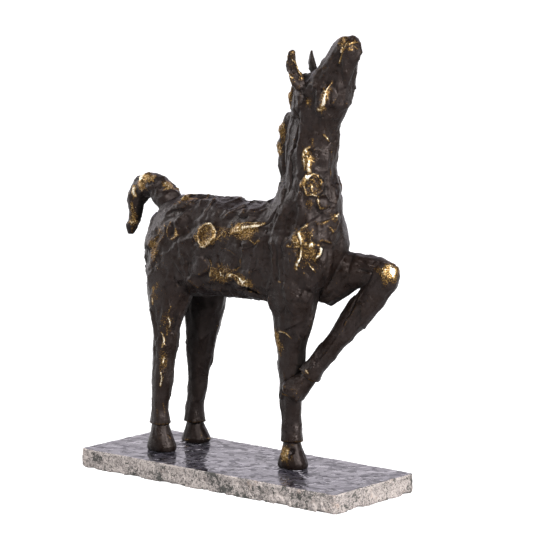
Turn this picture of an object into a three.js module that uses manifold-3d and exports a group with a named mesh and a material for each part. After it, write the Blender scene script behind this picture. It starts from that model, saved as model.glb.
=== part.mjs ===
// A cast bronze horse on a split granite slab: head thrown up, tail arched, one foreleg lifted across the
// other. Millimetres, +Z up. +X is the way the horse faces and +Y is its left side.
// The origin is the centre of the slab's underside.

import * as THREE from "three";
import { mergeVertices } from "three/addons/utils/BufferGeometryUtils.js";
import Module from "manifold-3d";

// Driving dimensions
const SLAB_LENGTH = 341.4;
const SLAB_WIDTH = 131.4;
const SLAB_THICKNESS = 20;
const HORSE_LEFT_OF_CENTRE = 10; // the horse stands a little towards the slab's far edge
const SEAT_GAP = 0.3; // between the hoof soles and the polished stone

// How finely the skins are divided
const TRUNK_SIDES = 22;
const LIMB_SIDES = 12;
const HOOF_SIDES = 14;
const MANE_SIDES = 8;
const EAR_SIDES = 10;
const DISC_SIDES = 14;
const RIB_SIDES = 6;
const TRUNK_SPACING = 11;
const LIMB_SPACING = 12;
const TAIL_SPACING = 7;
const EAR_SPACING = 6;
const RIB_SPACING = 9;
const SLAB_SPACING = 14;
const LENS_SIDES = 12;
const LENS_ROWS = 6;
const MERGE_WITHIN = 1e-4;

// How deep the wax was worked by hand
const TRUNK_WAX = 1.3;
const LIMB_WAX = 0.7;
const MANE_WAX = 0.5;
const HOOF_WAX = 0.4;

const wasm = await Module();
wasm.setup();

// Solids

// Turns a closed geometry into a solid, whichever way round its faces were written.
function solidOf(geometry) {
  const bare = new THREE.BufferGeometry().setAttribute("position", geometry.getAttribute("position"));
  if (geometry.index) bare.setIndex(geometry.index);
  const merged = mergeVertices(bare, MERGE_WITHIN);
  const make = (triVerts) =>
    new wasm.Manifold(
      new wasm.Mesh({ numProp: 3, vertProperties: merged.getAttribute("position").array, triVerts }),
    );
  const corners = Array.from(merged.index.array);
  const made = make(Uint32Array.from(corners));
  return made.volume() > 0 ? made : make(Uint32Array.from(corners.reverse()));
}

function geometryOf(solid) {
  const mesh = solid.getMesh();
  return new THREE.BufferGeometry()
    .setAttribute("position", new THREE.BufferAttribute(mesh.vertProperties, 3))
    .setIndex(new THREE.BufferAttribute(mesh.triVerts, 1));
}

function joined(solids) {
  return solids.reduce((whole, next) => whole.add(next));
}

// Skins over rings

// One closed solid through a list of rings with the same number of points, capped at both ends.
function skinned(rings) {
  const sides = rings[0].length;
  const points = rings.flat();
  const middle = (ring) => ring.reduce((sum, p) => sum.add(p), new THREE.Vector3()).divideScalar(sides);
  const first = points.length;
  const last = points.length + 1;
  points.push(middle(rings[0]), middle(rings[rings.length - 1]));
  const faces = [];
  for (let row = 0; row < rings.length - 1; row++) {
    for (let i = 0; i < sides; i++) {
      const a = row * sides + i;
      const b = row * sides + ((i + 1) % sides);
      faces.push(a, b, b + sides, a, b + sides, a + sides);
    }
  }
  const top = (rings.length - 1) * sides;
  for (let i = 0; i < sides; i++) {
    const next = (i + 1) % sides;
    faces.push(first, next, i, last, top + i, top + next);
  }
  const geometry = new THREE.BufferGeometry()
    .setAttribute("position", new THREE.Float32BufferAttribute(points.flatMap((p) => p.toArray()), 3))
    .setIndex(faces);
  return solidOf(geometry);
}

// Fills in a list of sections, every number on a smooth curve, so that none lies much further than
// `spacing` from the next. `placeOf` gives the place that a section stands at.
function smoothed(sections, spacing, placeOf) {
  const at = (i) => sections[Math.min(Math.max(i, 0), sections.length - 1)];
  const curve = (a, b, c, d, t) =>
    0.5 * (2 * b + (c - a) * t + (2 * a - 5 * b + 4 * c - d) * t * t + (3 * b - a - 3 * c + d) * t ** 3);
  const made = [];
  for (let i = 0; i < sections.length - 1; i++) {
    const steps = Math.max(1, Math.round(placeOf(at(i)).distanceTo(placeOf(at(i + 1))) / spacing));
    for (let step = 0; step < steps; step++) {
      const t = step / steps;
      made.push(at(i).map((value, k) => curve(at(i - 1)[k], value, at(i + 1)[k], at(i + 2)[k], t)));
    }
  }
  made.push(at(sections.length - 1));
  return made;
}

// The dents and swellings that a modeller's thumbs leave in wax, broad ones and small ones. Each has its
// share of the depth and two crossing waves: radians to the millimetre along x, y and z, then the phase.
const THUMB_DENTS = [
  [0.62, [0.121, 0, 0.083, 0], [0, 0.137, -0.092, 1.3]],
  [0.38, [0.31, -0.22, 0, 0.7], [0, 0.19, 0.27, 2.1]],
];

function wave({ x, y, z }, [alongX, alongY, alongZ, phase]) {
  return Math.sin(x * alongX + y * alongY + z * alongZ + phase);
}

// How far the worked wax stands out from a skin at a point, along the skin's outward direction.
function thumbed(point, depth) {
  return THUMB_DENTS.reduce(
    (sum, [share, one, other]) => sum + depth * share * wave(point, one) * wave(point, other),
    0,
  );
}

// A ring round `centre`, with half-axes `over` and `across`, worked in the wax by `depth`.
function ringOf(centre, over, across, sides, depth) {
  return Array.from({ length: sides }, (_, i) => {
    const turn = (2 * Math.PI * i) / sides;
    const out = over.clone().multiplyScalar(Math.cos(turn)).addScaledVector(across, Math.sin(turn));
    const point = centre.clone().add(out);
    return point.addScaledVector(out.normalize(), thumbed(point, depth));
  });
}

// The trunk: rump, barrel, chest, neck and head as one skin.
// Each section gives the back line's x and z, the belly or throat line's x and z, and the half width.
const TRUNK = [
  [-123, 223, -127, 200, 13],
  [-119, 240, -125, 184, 25],
  [-109, 255, -115, 170, 35],
  [-92, 265, -92, 164, 40],
  [-66, 268, -64, 165, 41.5],
  [-34, 267, -34, 168.5, 39.5],
  [-2, 267, -4, 169.5, 38],
  [22, 268.5, 28, 170, 37.5],
  [34, 271, 62, 170, 36.5],
  [41, 276, 92, 180, 35],
  [46, 283, 111, 202, 33],
  [50, 292, 117, 230, 30],
  [53, 302, 112.5, 257, 27],
  [54, 314, 110.5, 283, 24],
  [55, 328, 107, 310, 22],
  [56, 342, 107, 333, 21],
  [58, 355, 110, 346, 20.5],
  [60, 367, 113.5, 354, 20],
  [62, 381, 117.5, 361, 19.5],
  [68, 392, 120.5, 367, 19],
  [79, 400, 124, 374, 18],
  [92, 410.5, 127, 386, 15.5],
  [101, 419.5, 129.5, 398, 13],
  [108, 428.5, 133, 409, 11.5],
  [114.5, 436.5, 138.7, 419, 10.8],
  [121, 442, 140.6, 427, 10],
  [125.5, 443.3, 139.3, 433.5, 7.5],
  [129, 442.8, 136.5, 438.5, 4.5],
];

// The barrel is squarer and slung lower than the neck and head, which are plain ovals.
const BARREL_SQUARENESS = 0.55;
const BARREL_SAG = 0.07;
const NECK_HALF_WIDTH = 23;
const BARREL_HALF_WIDTH = 36;
const FULL_WAX_HALF_WIDTH = 30; // narrower stretches are worked less deeply

function trunk() {
  const middleOf = ([backX, backZ, bellyX, bellyZ]) =>
    new THREE.Vector3(backX, 0, backZ).lerp(new THREE.Vector3(bellyX, 0, bellyZ), 0.5);
  const rings = smoothed(TRUNK, TRUNK_SPACING, middleOf).map(([backX, backZ, bellyX, bellyZ, half]) => {
    const back = new THREE.Vector3(backX, 0, backZ);
    const belly = new THREE.Vector3(bellyX, 0, bellyZ);
    const centre = belly.clone().lerp(back, 0.5);
    const full = THREE.MathUtils.smoothstep(half, NECK_HALF_WIDTH, BARREL_HALF_WIDTH);
    const power = 2 / (2 + BARREL_SQUARENESS * full);
    const wax = TRUNK_WAX * Math.min(1, half / FULL_WAX_HALF_WIDTH);
    const bent = (value) => Math.sign(value) * Math.abs(value) ** power;
    return Array.from({ length: TRUNK_SIDES }, (_, i) => {
      const turn = (2 * Math.PI * i) / TRUNK_SIDES;
      const up = 0.5 + 0.5 * bent(Math.cos(turn)) - BARREL_SAG * full * Math.sin(turn) ** 2;
      const point = belly.clone().lerp(back, up).setY(half * bent(Math.sin(turn)));
      return point.addScaledVector(point.clone().sub(centre).normalize(), thumbed(point, wax));
    });
  });
  return skinned(rings);
}

// Limbs: skins round a path. Each section gives x, y, z, the half depth fore and aft, and the half width.
function limb(sections, { sides = LIMB_SIDES, spacing = LIMB_SPACING, wax = LIMB_WAX } = {}) {
  const placeOf = ([x, y, z]) => new THREE.Vector3(x, y, z);
  const fine = smoothed(sections, spacing, placeOf);
  const places = fine.map(placeOf);
  const rings = fine.map(([, , , deep, wide], i) => {
    const next = places[Math.min(i + 1, places.length - 1)];
    const along = next.clone().sub(places[Math.max(i - 1, 0)]).normalize();
    const across = new THREE.Vector3(0, 1, 0);
    across.addScaledVector(along, -along.y).normalize();
    const over = across.clone().cross(along);
    return ringOf(places[i], over.multiplyScalar(deep), across.multiplyScalar(wide), sides, wax);
  });
  return skinned(rings);
}

const NEAR_HIND = [
  [-88, -12, 238, 22, 15],
  [-88, -17, 220, 29, 20],
  [-88, -21, 198, 32, 21],
  [-88, -24.5, 174, 29, 19.5],
  [-90, -27, 152, 20.8, 16.3],
  [-91.5, -27, 134, 15.6, 13.2],
  [-93, -27, 113, 12.9, 11.2],
  [-95, -27, 93, 12.4, 10.8],
  [-97, -27, 74, 11.8, 10],
  [-99.5, -27, 54, 9, 8.3],
  [-100.3, -27, 43, 9.3, 8.5],
  [-100.3, -27, 35, 10.8, 9.8],
  [-100.3, -27, 29, 11.2, 10.2],
];

const FAR_HIND = [
  [-84, 12, 238, 22, 15],
  [-84, 17, 220, 28, 20],
  [-85, 21, 198, 31.5, 21],
  [-86, 25, 170, 30.5, 19.5],
  [-88.7, 28, 138, 21.8, 17],
  [-91.5, 28, 112, 17.2, 14],
  [-93, 28, 95, 14.6, 12],
  [-96.3, 28, 80, 11.6, 10],
  [-98.1, 28, 60, 10.4, 8.8],
  [-99.8, 28, 44, 9.2, 8.2],
  [-100.3, 28, 36, 9.6, 8.6],
  [-101, 28, 27, 11, 10],
  [-101, 28, 22, 11.4, 10.4],
];

const STANDING_FORE = [
  [58, -8, 232, 20, 15],
  [61, -12, 212, 26, 20],
  [65.6, -14, 192, 29, 21.5],
  [66.6, -13.5, 173, 27.2, 19],
  [65, -12, 155, 22.3, 16.5],
  [62, -10, 140, 19, 14.5],
  [60.3, -8, 124, 15, 12.3],
  [60.2, -7, 108, 13.6, 11.3],
  [59.4, -6, 91, 12, 10.1],
  [58.3, -5, 64, 10.8, 9.1],
  [58, -4.5, 48, 10, 8.7],
  [58, -4.5, 37, 10.3, 9],
  [58, -4.5, 28, 11.4, 10],
];

const LIFTED_ARM = [
  [76, 7, 206, 24, 17],
  [95, 12, 200, 30.5, 20],
  [108, 15, 203.5, 24, 18],
  [120, 17, 206, 18.6, 16],
  [138, 19, 206, 16.6, 13.5],
  [153, 20, 207, 14.4, 12.5],
  [163.5, 20, 206, 11.6, 11],
  [168, 20, 204, 6.5, 6.5],
];

const LIFTED_SHANK = [
  [165, 20, 215, 6.5, 6],
  [163, 20, 209, 11.6, 10.4],
  [158, 19.5, 201, 14.2, 12.4],
  [148.5, 18, 189, 14, 12],
  [131.3, 13, 166.5, 14.3, 11.3],
  [113.5, 5, 141, 11.4, 10.2],
  [99.5, -2, 121, 10.7, 10],
  [90.5, -7, 107, 10.2, 9.7],
  [87.5, -8.5, 102.5, 11.2, 10.6],
  [85.5, -9.5, 99, 11.4, 10.8],
];

// Hooves: a bell under each cuff. Each section gives height above the sole as a share of the hoof's height,
// and the half depth and half width as shares of the sole's.
const HOOF = [
  [1.15, 0.52, 0.58],
  [0.92, 0.56, 0.62],
  [0.66, 0.68, 0.75],
  [0.34, 0.9, 0.92],
  [0.16, 1, 1],
  [0.03, 0.95, 0.94],
  [-0.08, 0.86, 0.86],
];
const HOOF_DEEP = 17.5;
const HOOF_WIDE = 13.6;
const HOOF_TOE = 2; // how far the sole's centre lies ahead of the leg's
const SOLE_CUT = 60; // the side of the block that cuts the sole flat

function hoof(x, y, height) {
  const sections = HOOF.map(([up, deep, wide]) => [
    x + HOOF_TOE * (1 - Math.min(up, 1)),
    y,
    height * up,
    HOOF_DEEP * deep,
    HOOF_WIDE * wide,
  ]);
  const whole = limb(sections, { sides: HOOF_SIDES, wax: HOOF_WAX });
  const block = new THREE.BoxGeometry(SOLE_CUT, SOLE_CUT, SOLE_CUT);
  return whole.subtract(solidOf(block.translate(x, y, SEAT_GAP - SOLE_CUT / 2)));
}

// The lifted hoof hangs along the shank's line and lies against the standing leg.
const LIFTED_HOOF = [
  [88, -8.5, 103, 8.4, 8.2],
  [83.5, -11, 96.5, 8.8, 8.6],
  [77.5, -14, 89.5, 10.4, 10.2],
  [71.5, -17, 82.3, 12.8, 12.2],
  [69.5, -18, 79.5, 12.2, 11.6],
];

// The tail leaves the croup thick, arches over and hangs to a blunt tip.
const TAIL = [
  [-98, 0, 244, 14, 14],
  [-107, 0, 255, 13, 13],
  [-118, 0, 264.5, 13.4, 12.2],
  [-130, 0, 272, 12.4, 11.2],
  [-143.5, 0, 271, 12.6, 10.2],
  [-153, 0, 265, 10.2, 9.4],
  [-157, 0, 255, 8.6, 8.2],
  [-157.5, 0, 244, 7.6, 7.2],
  [-159, 0, 233, 6.4, 6.2],
  [-162.5, 0, 224, 5.2, 5],
  [-164, 0, 219, 3.2, 3.2],
];

// The mane stands proud along the nape as a crest with two tufts.
const MANE = [
  [84, 0, 401, 2.5, 3],
  [72, 0, 395, 6, 4.2],
  [64.5, 0, 386, 8.2, 4.8],
  [61, 0, 376, 9, 5],
  [61.5, 0, 368, 8.2, 4.8],
  [62, 0, 361, 6, 4.4],
  [55.5, 0, 351.5, 9.4, 5],
  [50.3, 0, 341, 10.4, 5.2],
  [50.8, 0, 334, 10, 5.2],
  [46.8, 0, 325.5, 11.2, 5.4],
  [48.2, 0, 318, 10.4, 5.2],
  [48, 0, 308, 10.2, 5.2],
  [49.5, 0, 297, 9.6, 5],
  [49.4, 0, 284, 9.4, 5],
  [46, 0, 275.5, 7.6, 5],
  [34, 0, 266.5, 4.8, 5],
  [16, 0, 261, 3.6, 4],
];

// An ear is a cupped leaf: each section gives x, y, z of its spine, the half width and the half thickness.
const EAR = [
  [78, 12.5, 388, 6, 3.6],
  [73.5, 14, 396, 6.7, 3.2],
  [68.7, 15.2, 404.5, 7.6, 2.6],
  [66.3, 15.8, 412.5, 6.8, 2.2],
  [66.3, 15.8, 419, 4, 1.8],
  [66.8, 15.6, 422.8, 1.6, 1.2],
];
const EAR_WIDEST = Math.max(...EAR.map(([, , , half]) => half));
const EAR_CUP = 3.4;
const EAR_TURN = 0.55; // radians that the cup opens forward from straight out to the side

function ear(side) {
  const fine = smoothed(EAR, EAR_SPACING, ([x, y, z]) => new THREE.Vector3(x, y, z));
  const outward = new THREE.Vector3(Math.sin(EAR_TURN), side * Math.cos(EAR_TURN), 0);
  const broad = new THREE.Vector3(Math.cos(EAR_TURN), -side * Math.sin(EAR_TURN), 0);
  const rings = fine.map(([x, y, z, half, thick]) =>
    Array.from({ length: EAR_SIDES }, (_, i) => {
      const turn = (2 * Math.PI * i) / EAR_SIDES;
      const cup = (EAR_CUP * half * Math.cos(turn) ** 2) / EAR_WIDEST;
      return new THREE.Vector3(x, side * y, z)
        .addScaledVector(broad, half * Math.cos(turn))
        .addScaledVector(outward, thick * Math.sin(turn) + cup);
    }),
  );
  return skinned(rings);
}

// Relief: what was laid on the wax before casting.

// Where the trunk's skin lies near a place, and which way it faces there. The flanks and head are looked at
// square from the side, the neck and chest from the direction they bulge in.
const SEAT_SPAN = 4;
const LOOKED_AT_FROM = 200;
const NECK_AXIS_X = 81;
const HEAD_FOOT_Z = 350;

function seated(skin, [x, y, z]) {
  const bulge = z < HEAD_FOOT_Z ? Math.max(0, x - NECK_AXIS_X) : 0;
  const outward = new THREE.Vector3(bulge, y, 0).normalize();
  const sideways = new THREE.Vector3(-outward.y, outward.x, 0);
  const at = (across, up) => {
    const near = new THREE.Vector3(x, y, z + up).addScaledVector(sideways, across);
    const from = near.addScaledVector(outward, LOOKED_AT_FROM);
    return new THREE.Raycaster(from, outward.clone().negate()).intersectObject(skin)[0].point;
  };
  const across = at(SEAT_SPAN, 0).sub(at(-SEAT_SPAN, 0));
  const upward = at(0, SEAT_SPAN).sub(at(0, -SEAT_SPAN));
  return { point: at(0, 0), facing: across.cross(upward).normalize() };
}

// A round pat of wax, standing square to the skin. Each step of its profile gives a share of the radius
// and the height above the skin.
const COIN = [
  [0.96, -3],
  [1, 0.8],
  [0.9, 1.9],
  [0.76, 1.7],
  [0.68, 0.5],
  [0.4, 0.6],
];
const PEBBLE = [
  [1, -2],
  [0.96, 0.8],
  [0.72, 1.9],
  [0.36, 2.4],
];
const DOME = [
  [1, -2],
  [0.96, 0.3],
  [0.7, 1],
  [0.36, 1.4],
];

function pat(skin, profile, place, long, tall) {
  const { point, facing } = seated(skin, place);
  const upward = new THREE.Vector3(0, 0, 1).addScaledVector(facing, -facing.z).normalize();
  const forward = facing.clone().cross(upward);
  const rings = profile.map(([share, height]) =>
    Array.from({ length: DISC_SIDES }, (_, i) => {
      const turn = (2 * Math.PI * i) / DISC_SIDES;
      return point
        .clone()
        .addScaledVector(forward, long * share * Math.cos(turn))
        .addScaledVector(upward, tall * share * Math.sin(turn))
        .addScaledVector(facing, height);
    }),
  );
  return skinned(rings);
}

const RIB_END = 0.25; // a rib's thickness at its ends, as a share of its middle's

// A rib of wax drawn along the skin through the places given, tapering to both ends.
function rib(skin, wide, high, places) {
  const middle = (places.length - 1) / 2;
  const sections = places.map((place, i) => {
    const { point } = seated(skin, place);
    const taper = Math.sqrt(1 - (1 - RIB_END ** 2) * (Math.abs(i - middle) / middle) ** 2);
    return [point.x, point.y, point.z, wide * taper, high * taper];
  });
  return limb(sections, { sides: RIB_SIDES, spacing: RIB_SPACING, wax: 0 });
}

// Each pat's profile, the place it sits at, its half length and its half height. The far side is plainer.
const PATS = [
  [COIN, [-29, -35, 235], 13, 11.5],
  [COIN, [97, -19, 293], 11.5, 11.5],
  [PEBBLE, [105, -15, 276], 7.5, 7],
  [DOME, [-1, -37, 212], 14, 11],
  [DOME, [-39, -39, 205], 15, 13],
  [COIN, [-4, 35, 234], 12, 12],
  [DOME, [-46, 39, 208], 15, 12],
  [PEBBLE, [92, 20, 290], 8, 9],
];

// Each rib's half width and height, then the places it runs through.
const RIBS = [
  [3.4, 2, [[-7, -35, 192], [5, -35, 196], [17, -35, 192], [32, -33, 191.5]]],
  [3, 1.8, [[-25, -39, 213], [-22, -38, 203], [-20, -36, 193]]],
  [3.6, 2, [[14, -31, 243], [28, -29, 247.5], [44, -27, 252]]],
  [2.8, 2, [[91, -30, 231], [88.5, -30, 220], [84, -30, 209]]],
  [2.8, 2, [[100, -27, 238], [109.5, -23, 231], [106, -25, 221], [97, -26, 213]]],
  [4, 2.2, [[75, -33, 233], [87, -32, 238], [98, -27, 258]]],
  [2.6, 1.9, [[117, -14, 399], [110, -16, 384], [105.5, -16, 370]]],
  [5, 1.8, [[-84, -25, 253], [-68, -21, 258], [-54, -20, 260]]],
  [4.5, 1.8, [[-12, -25, 251], [2, -20, 257], [17, -20, 258]]],
  [3.4, 2, [[-22, 37, 192], [-6, 37, 195], [8, 36, 193], [20, 35, 196]]],
  [3.6, 2, [[26, 31, 242], [40, 30, 247], [54, 31, 245]]],
  [2.6, 1.9, [[115, 14, 397], [109, 16, 383], [106, 17, 371]]],
  [5, 1.8, [[-72, 26, 252], [-56, 24, 257], [-42, 23, 258]]],
];

// The pinched leaf of wax left under the belly, behind the standing foreleg.
const LEAF = [
  [2, -24, 182, 3, 4],
  [14, -27, 184, 5, 5],
  [26, -27, 182, 6.5, 5],
  [37, -25, 178, 4.6, 4],
  [44, -23, 175, 2.5, 3],
];

// The closed mouth is a slit round the muzzle's end, with a nostril beside it on each cheek.
const MOUTH = [136, 0, 431];
const MOUTH_PITCH = -0.86; // the slit's fall from level, nose up
const MOUTH_SIZE = [11, 15, 0.9];
const NOSTRIL = [130.5, 10, 436];
const NOSTRIL_SIZE = [2.6, 2.2, 1.7];

function lens([x, y, z], [long, wide, thick]) {
  const round = new THREE.SphereGeometry(1, LENS_SIDES, LENS_ROWS);
  const flat = round.rotateX(Math.PI / 2).scale(long, wide, thick);
  return solidOf(flat.rotateY(MOUTH_PITCH).translate(x, y, z));
}

function horse() {
  const body = trunk();
  const skin = new THREE.Mesh(geometryOf(body));
  const [nostrilX, nostrilY, nostrilZ] = NOSTRIL;
  const soles = [NEAR_HIND, FAR_HIND, STANDING_FORE].map((leg) => leg.at(-1));
  return joined([
    body,
    limb(NEAR_HIND),
    limb(FAR_HIND),
    limb(STANDING_FORE),
    limb(LIFTED_ARM),
    limb(LIFTED_SHANK),
    limb(LIFTED_HOOF, { wax: HOOF_WAX }),
    limb(TAIL, { spacing: TAIL_SPACING }),
    limb(MANE, { sides: MANE_SIDES, wax: MANE_WAX }),
    limb(LEAF, { sides: MANE_SIDES }),
    ear(-1),
    ear(1),
    ...soles.map(([x, y, z]) => hoof(x, y, z)),
    ...PATS.map(([profile, place, long, tall]) => pat(skin, profile, place, long, tall)),
    ...RIBS.map(([wide, high, places]) => rib(skin, wide, high, places)),
  ])
    .subtract(lens(MOUTH, MOUTH_SIZE))
    .subtract(lens([nostrilX, -nostrilY, nostrilZ], NOSTRIL_SIZE))
    .subtract(lens([nostrilX, nostrilY, nostrilZ], NOSTRIL_SIZE));
}

// The slab: sawn flat above and below, split rough round its edges, with the corners knocked off.
// Corners run round from the near left as seen from above, each with how far it is broken back.
const SLAB_CORNERS = [
  [-1, -1, 2],
  [1, -1, 2],
  [1, 1, 3.5],
  [-1, 1, 13],
];
const CORNER_ROUND = 0.25; // how far a broken corner still stands out from a straight chamfer

// Height as a share of the thickness, and how far the split face may fall back there.
const SPLIT_FACE = [
  [0, 2],
  [0.16, 0.9],
  [0.5, 1.1],
  [0.86, 0.7],
  [1, 1],
];

function slabOutline() {
  const halves = new THREE.Vector2(SLAB_LENGTH, SLAB_WIDTH).divideScalar(2);
  const corners = SLAB_CORNERS.map(([x, y]) => new THREE.Vector2(x, y).multiply(halves));
  const outline = [];
  corners.forEach((corner, i) => {
    const count = corners.length;
    const toward = (other, broken) => other.clone().sub(corner).setLength(broken).add(corner);
    const from = toward(corners[(i + count - 1) % count], SLAB_CORNERS[i][2]);
    const to = toward(corners[(i + 1) % count], SLAB_CORNERS[i][2]);
    outline.push(from, from.clone().lerp(to, 0.5).lerp(corner, CORNER_ROUND), to);
    const next = corners[(i + 1) % count];
    const end = corner.clone().sub(next).setLength(SLAB_CORNERS[(i + 1) % count][2]).add(next);
    const steps = Math.round(to.distanceTo(end) / SLAB_SPACING);
    for (let step = 1; step < steps; step++) outline.push(to.clone().lerp(end, step / steps));
  });
  return outline;
}

// The waves of the split face, as in THUMB_DENTS, but with z as a share of the thickness.
const LONG_SPLIT = [0.11, 0.19, 2.3, 0];
const SHORT_SPLIT = [0.37, -0.29, 4.1, 1.7];

// How far back the split face lies, from none to all of what it may, at a point on the edge.
function splitShare({ x, y }, z) {
  return 0.5 + 0.3 * wave({ x, y, z }, LONG_SPLIT) + 0.2 * wave({ x, y, z }, SHORT_SPLIT);
}

function slab() {
  const outline = slabOutline();
  const rings = SPLIT_FACE.map(([up, deep]) =>
    outline.map((point, i) => {
      const before = outline[(i + outline.length - 1) % outline.length];
      const after = outline[(i + 1) % outline.length];
      const along = after.clone().sub(before).normalize();
      const back = deep * splitShare(point, up);
      return new THREE.Vector3(point.x - along.y * back, point.y + along.x * back, up * SLAB_THICKNESS);
    }),
  );
  return skinned(rings);
}

const bronze = new THREE.MeshStandardMaterial({ color: 0x3a322c, roughness: 0.45, metalness: 0.9 });
const granite = new THREE.MeshStandardMaterial({ color: 0x8f8a85, roughness: 0.3, metalness: 0 });

const sculpture = new THREE.Group();

const horseMesh = new THREE.Mesh(geometryOf(horse()), bronze);
horseMesh.name = "cast_horse";
horseMesh.position.set(0, HORSE_LEFT_OF_CENTRE, SLAB_THICKNESS);
sculpture.add(horseMesh);

const slabMesh = new THREE.Mesh(geometryOf(slab()), granite);
slabMesh.name = "granite_slab";
sculpture.add(slabMesh);

export default sculpture;
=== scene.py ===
"""A lost-wax cast bronze horse on a split granite slab, dressed over its fixed frame.

The horse is one casting: a fine copy of the frame's solid, with the relief that a modeller left in the
wax worked into the mesh. Marks that the photograph shows are placed by the pixels they are seen at,
through the photograph's own camera, and so they lie on the skin from wherever they are looked at.
"""

import itertools
import logging
import math
from dataclasses import dataclass, field
from enum import Enum, IntEnum
from typing import Any

import bmesh
import bpy
import numpy as np
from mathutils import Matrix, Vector
from mathutils.bvhtree import BVHTree


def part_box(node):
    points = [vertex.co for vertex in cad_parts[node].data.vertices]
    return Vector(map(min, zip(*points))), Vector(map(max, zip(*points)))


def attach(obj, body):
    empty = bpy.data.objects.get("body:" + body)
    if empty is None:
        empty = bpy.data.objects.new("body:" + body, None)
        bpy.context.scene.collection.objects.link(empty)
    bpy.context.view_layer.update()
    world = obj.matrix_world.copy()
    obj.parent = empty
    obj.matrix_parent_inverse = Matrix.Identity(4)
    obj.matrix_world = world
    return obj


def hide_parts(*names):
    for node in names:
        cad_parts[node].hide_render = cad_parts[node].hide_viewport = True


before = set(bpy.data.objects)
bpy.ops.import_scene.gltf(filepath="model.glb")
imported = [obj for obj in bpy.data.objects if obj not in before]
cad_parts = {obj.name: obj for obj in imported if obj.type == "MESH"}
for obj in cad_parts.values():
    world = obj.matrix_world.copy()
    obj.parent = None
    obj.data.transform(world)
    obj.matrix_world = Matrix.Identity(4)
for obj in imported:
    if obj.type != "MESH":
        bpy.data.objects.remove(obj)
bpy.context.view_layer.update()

MM = 0.001
CM = 10 * MM
HORSE_PLACE = (0.0, 10.0, 20.0)  # the horse's own origin, on the slab's top, in millimetres
TINY = 1e-6

log = logging.getLogger("dhokra_horse")

Array = np.ndarray
Pixel = tuple[float, float]
Place = tuple[float, float, float]
Colour = tuple[float, float, float]
Span = tuple[float, float]  # where something begins and where it is complete


class Seen(Enum):
    """Where a mark on the wax is drawn from: the camera, or the direction that this side faces."""

    PHOTO = None
    LEFT = (0.0, 1.0, 0.0)
    ABOVE = (0.0, 0.0, 1.0)


class Seed(IntEnum):
    """Which random field a pattern takes. Flats name their own, and a mark's name and line pick its."""

    SPOT_EDGE = 3
    OPENNESS = 4
    WRINKLES = 5
    CRUST = 6
    BEADS = 8
    SCRIBBLE = 11
    CORD_FRAY = 17
    CRUST_GRAIN = 23
    PATCHY = 29
    CUFF = 41
    DENTS = 71
    STONE_PITS = 87
    FOOT_CHIPS = 97
    BROW_CHIPS = 99
    BEAD_SHAPES = 5


class Form(Enum):
    """The cross-section of a mark drawn along a line: how many widths it reaches, and its strength."""

    RIDGE = (3.5, 1.0)  # a round cord of wax
    GROOVE = (3.5, -1.5)  # a round channel
    LAP = (5.0, 2.1)  # the edge of a layer that lies on the line's left and hangs over its right


class Pat(Enum):
    """The shape of a round mark."""

    COIN = "a raised rim round a sunk, scribbled face"
    DOME = "a low swelling with a channel round it"
    PEBBLE = "a smooth flat stone with a channel round it"
    HOLLOW = "a dent pressed by a thumb"
    PIT = "a hole that the casting left, dark inside"
    CRUST = "a patch of grainy metal"
    POLISH = "a patch rubbed bright"


@dataclass(frozen=True)
class Stroke:
    """A mark drawn along a line on the wax.

    Sizes are in millimetres. `rub` is how much metal the patina lets through along it, from 0 to 1, and
    `crust` how grainy it is.
    """

    name: str
    line: tuple[Pixel, ...]
    wide: float
    high: float
    form: Form = Form.RIDGE
    rub: float = 0.0
    crust: float = 0.0


@dataclass(frozen=True)
class Spot:
    """A round mark on the wax: its middle, its half width and half height in millimetres, and its relief.

    `turn` is in degrees, and `rub` and `crust` are as on a stroke.
    """

    name: str
    middle: Pixel
    wide: float
    tall: float
    high: float
    pat: Pat = Pat.CRUST
    rub: float = 0.0
    crust: float = 0.0
    turn: float = 0.0


@dataclass(frozen=True)
class Cuff:
    """A raised ring round a leg, above its hoof, in the horse's own millimetres.

    `foot` is on the ring's lower edge in the middle of the leg, and `upward` runs along the leg.
    """

    name: str
    foot: Place
    upward: Place
    radius: float = 11.0
    reach: Span = (9.0, 5.0)
    lip: float = 0.75
    lip_edge: Span = (-0.7, 0.1)
    lip_slope: float = 2.6
    groove: float = 0.5
    groove_place: float = -1.4
    groove_width: float = 0.9
    rub: float = 0.12
    rub_place: float = 0.3
    rub_width: float = 0.7
    wander: float = 0.7
    wander_size: float = 9.0


@dataclass(frozen=True)
class CrispPart:
    """A part of the horse that keeps its edges, as a ball in the horse's own millimetres."""

    name: str
    middle: Place
    radius: float


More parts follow.
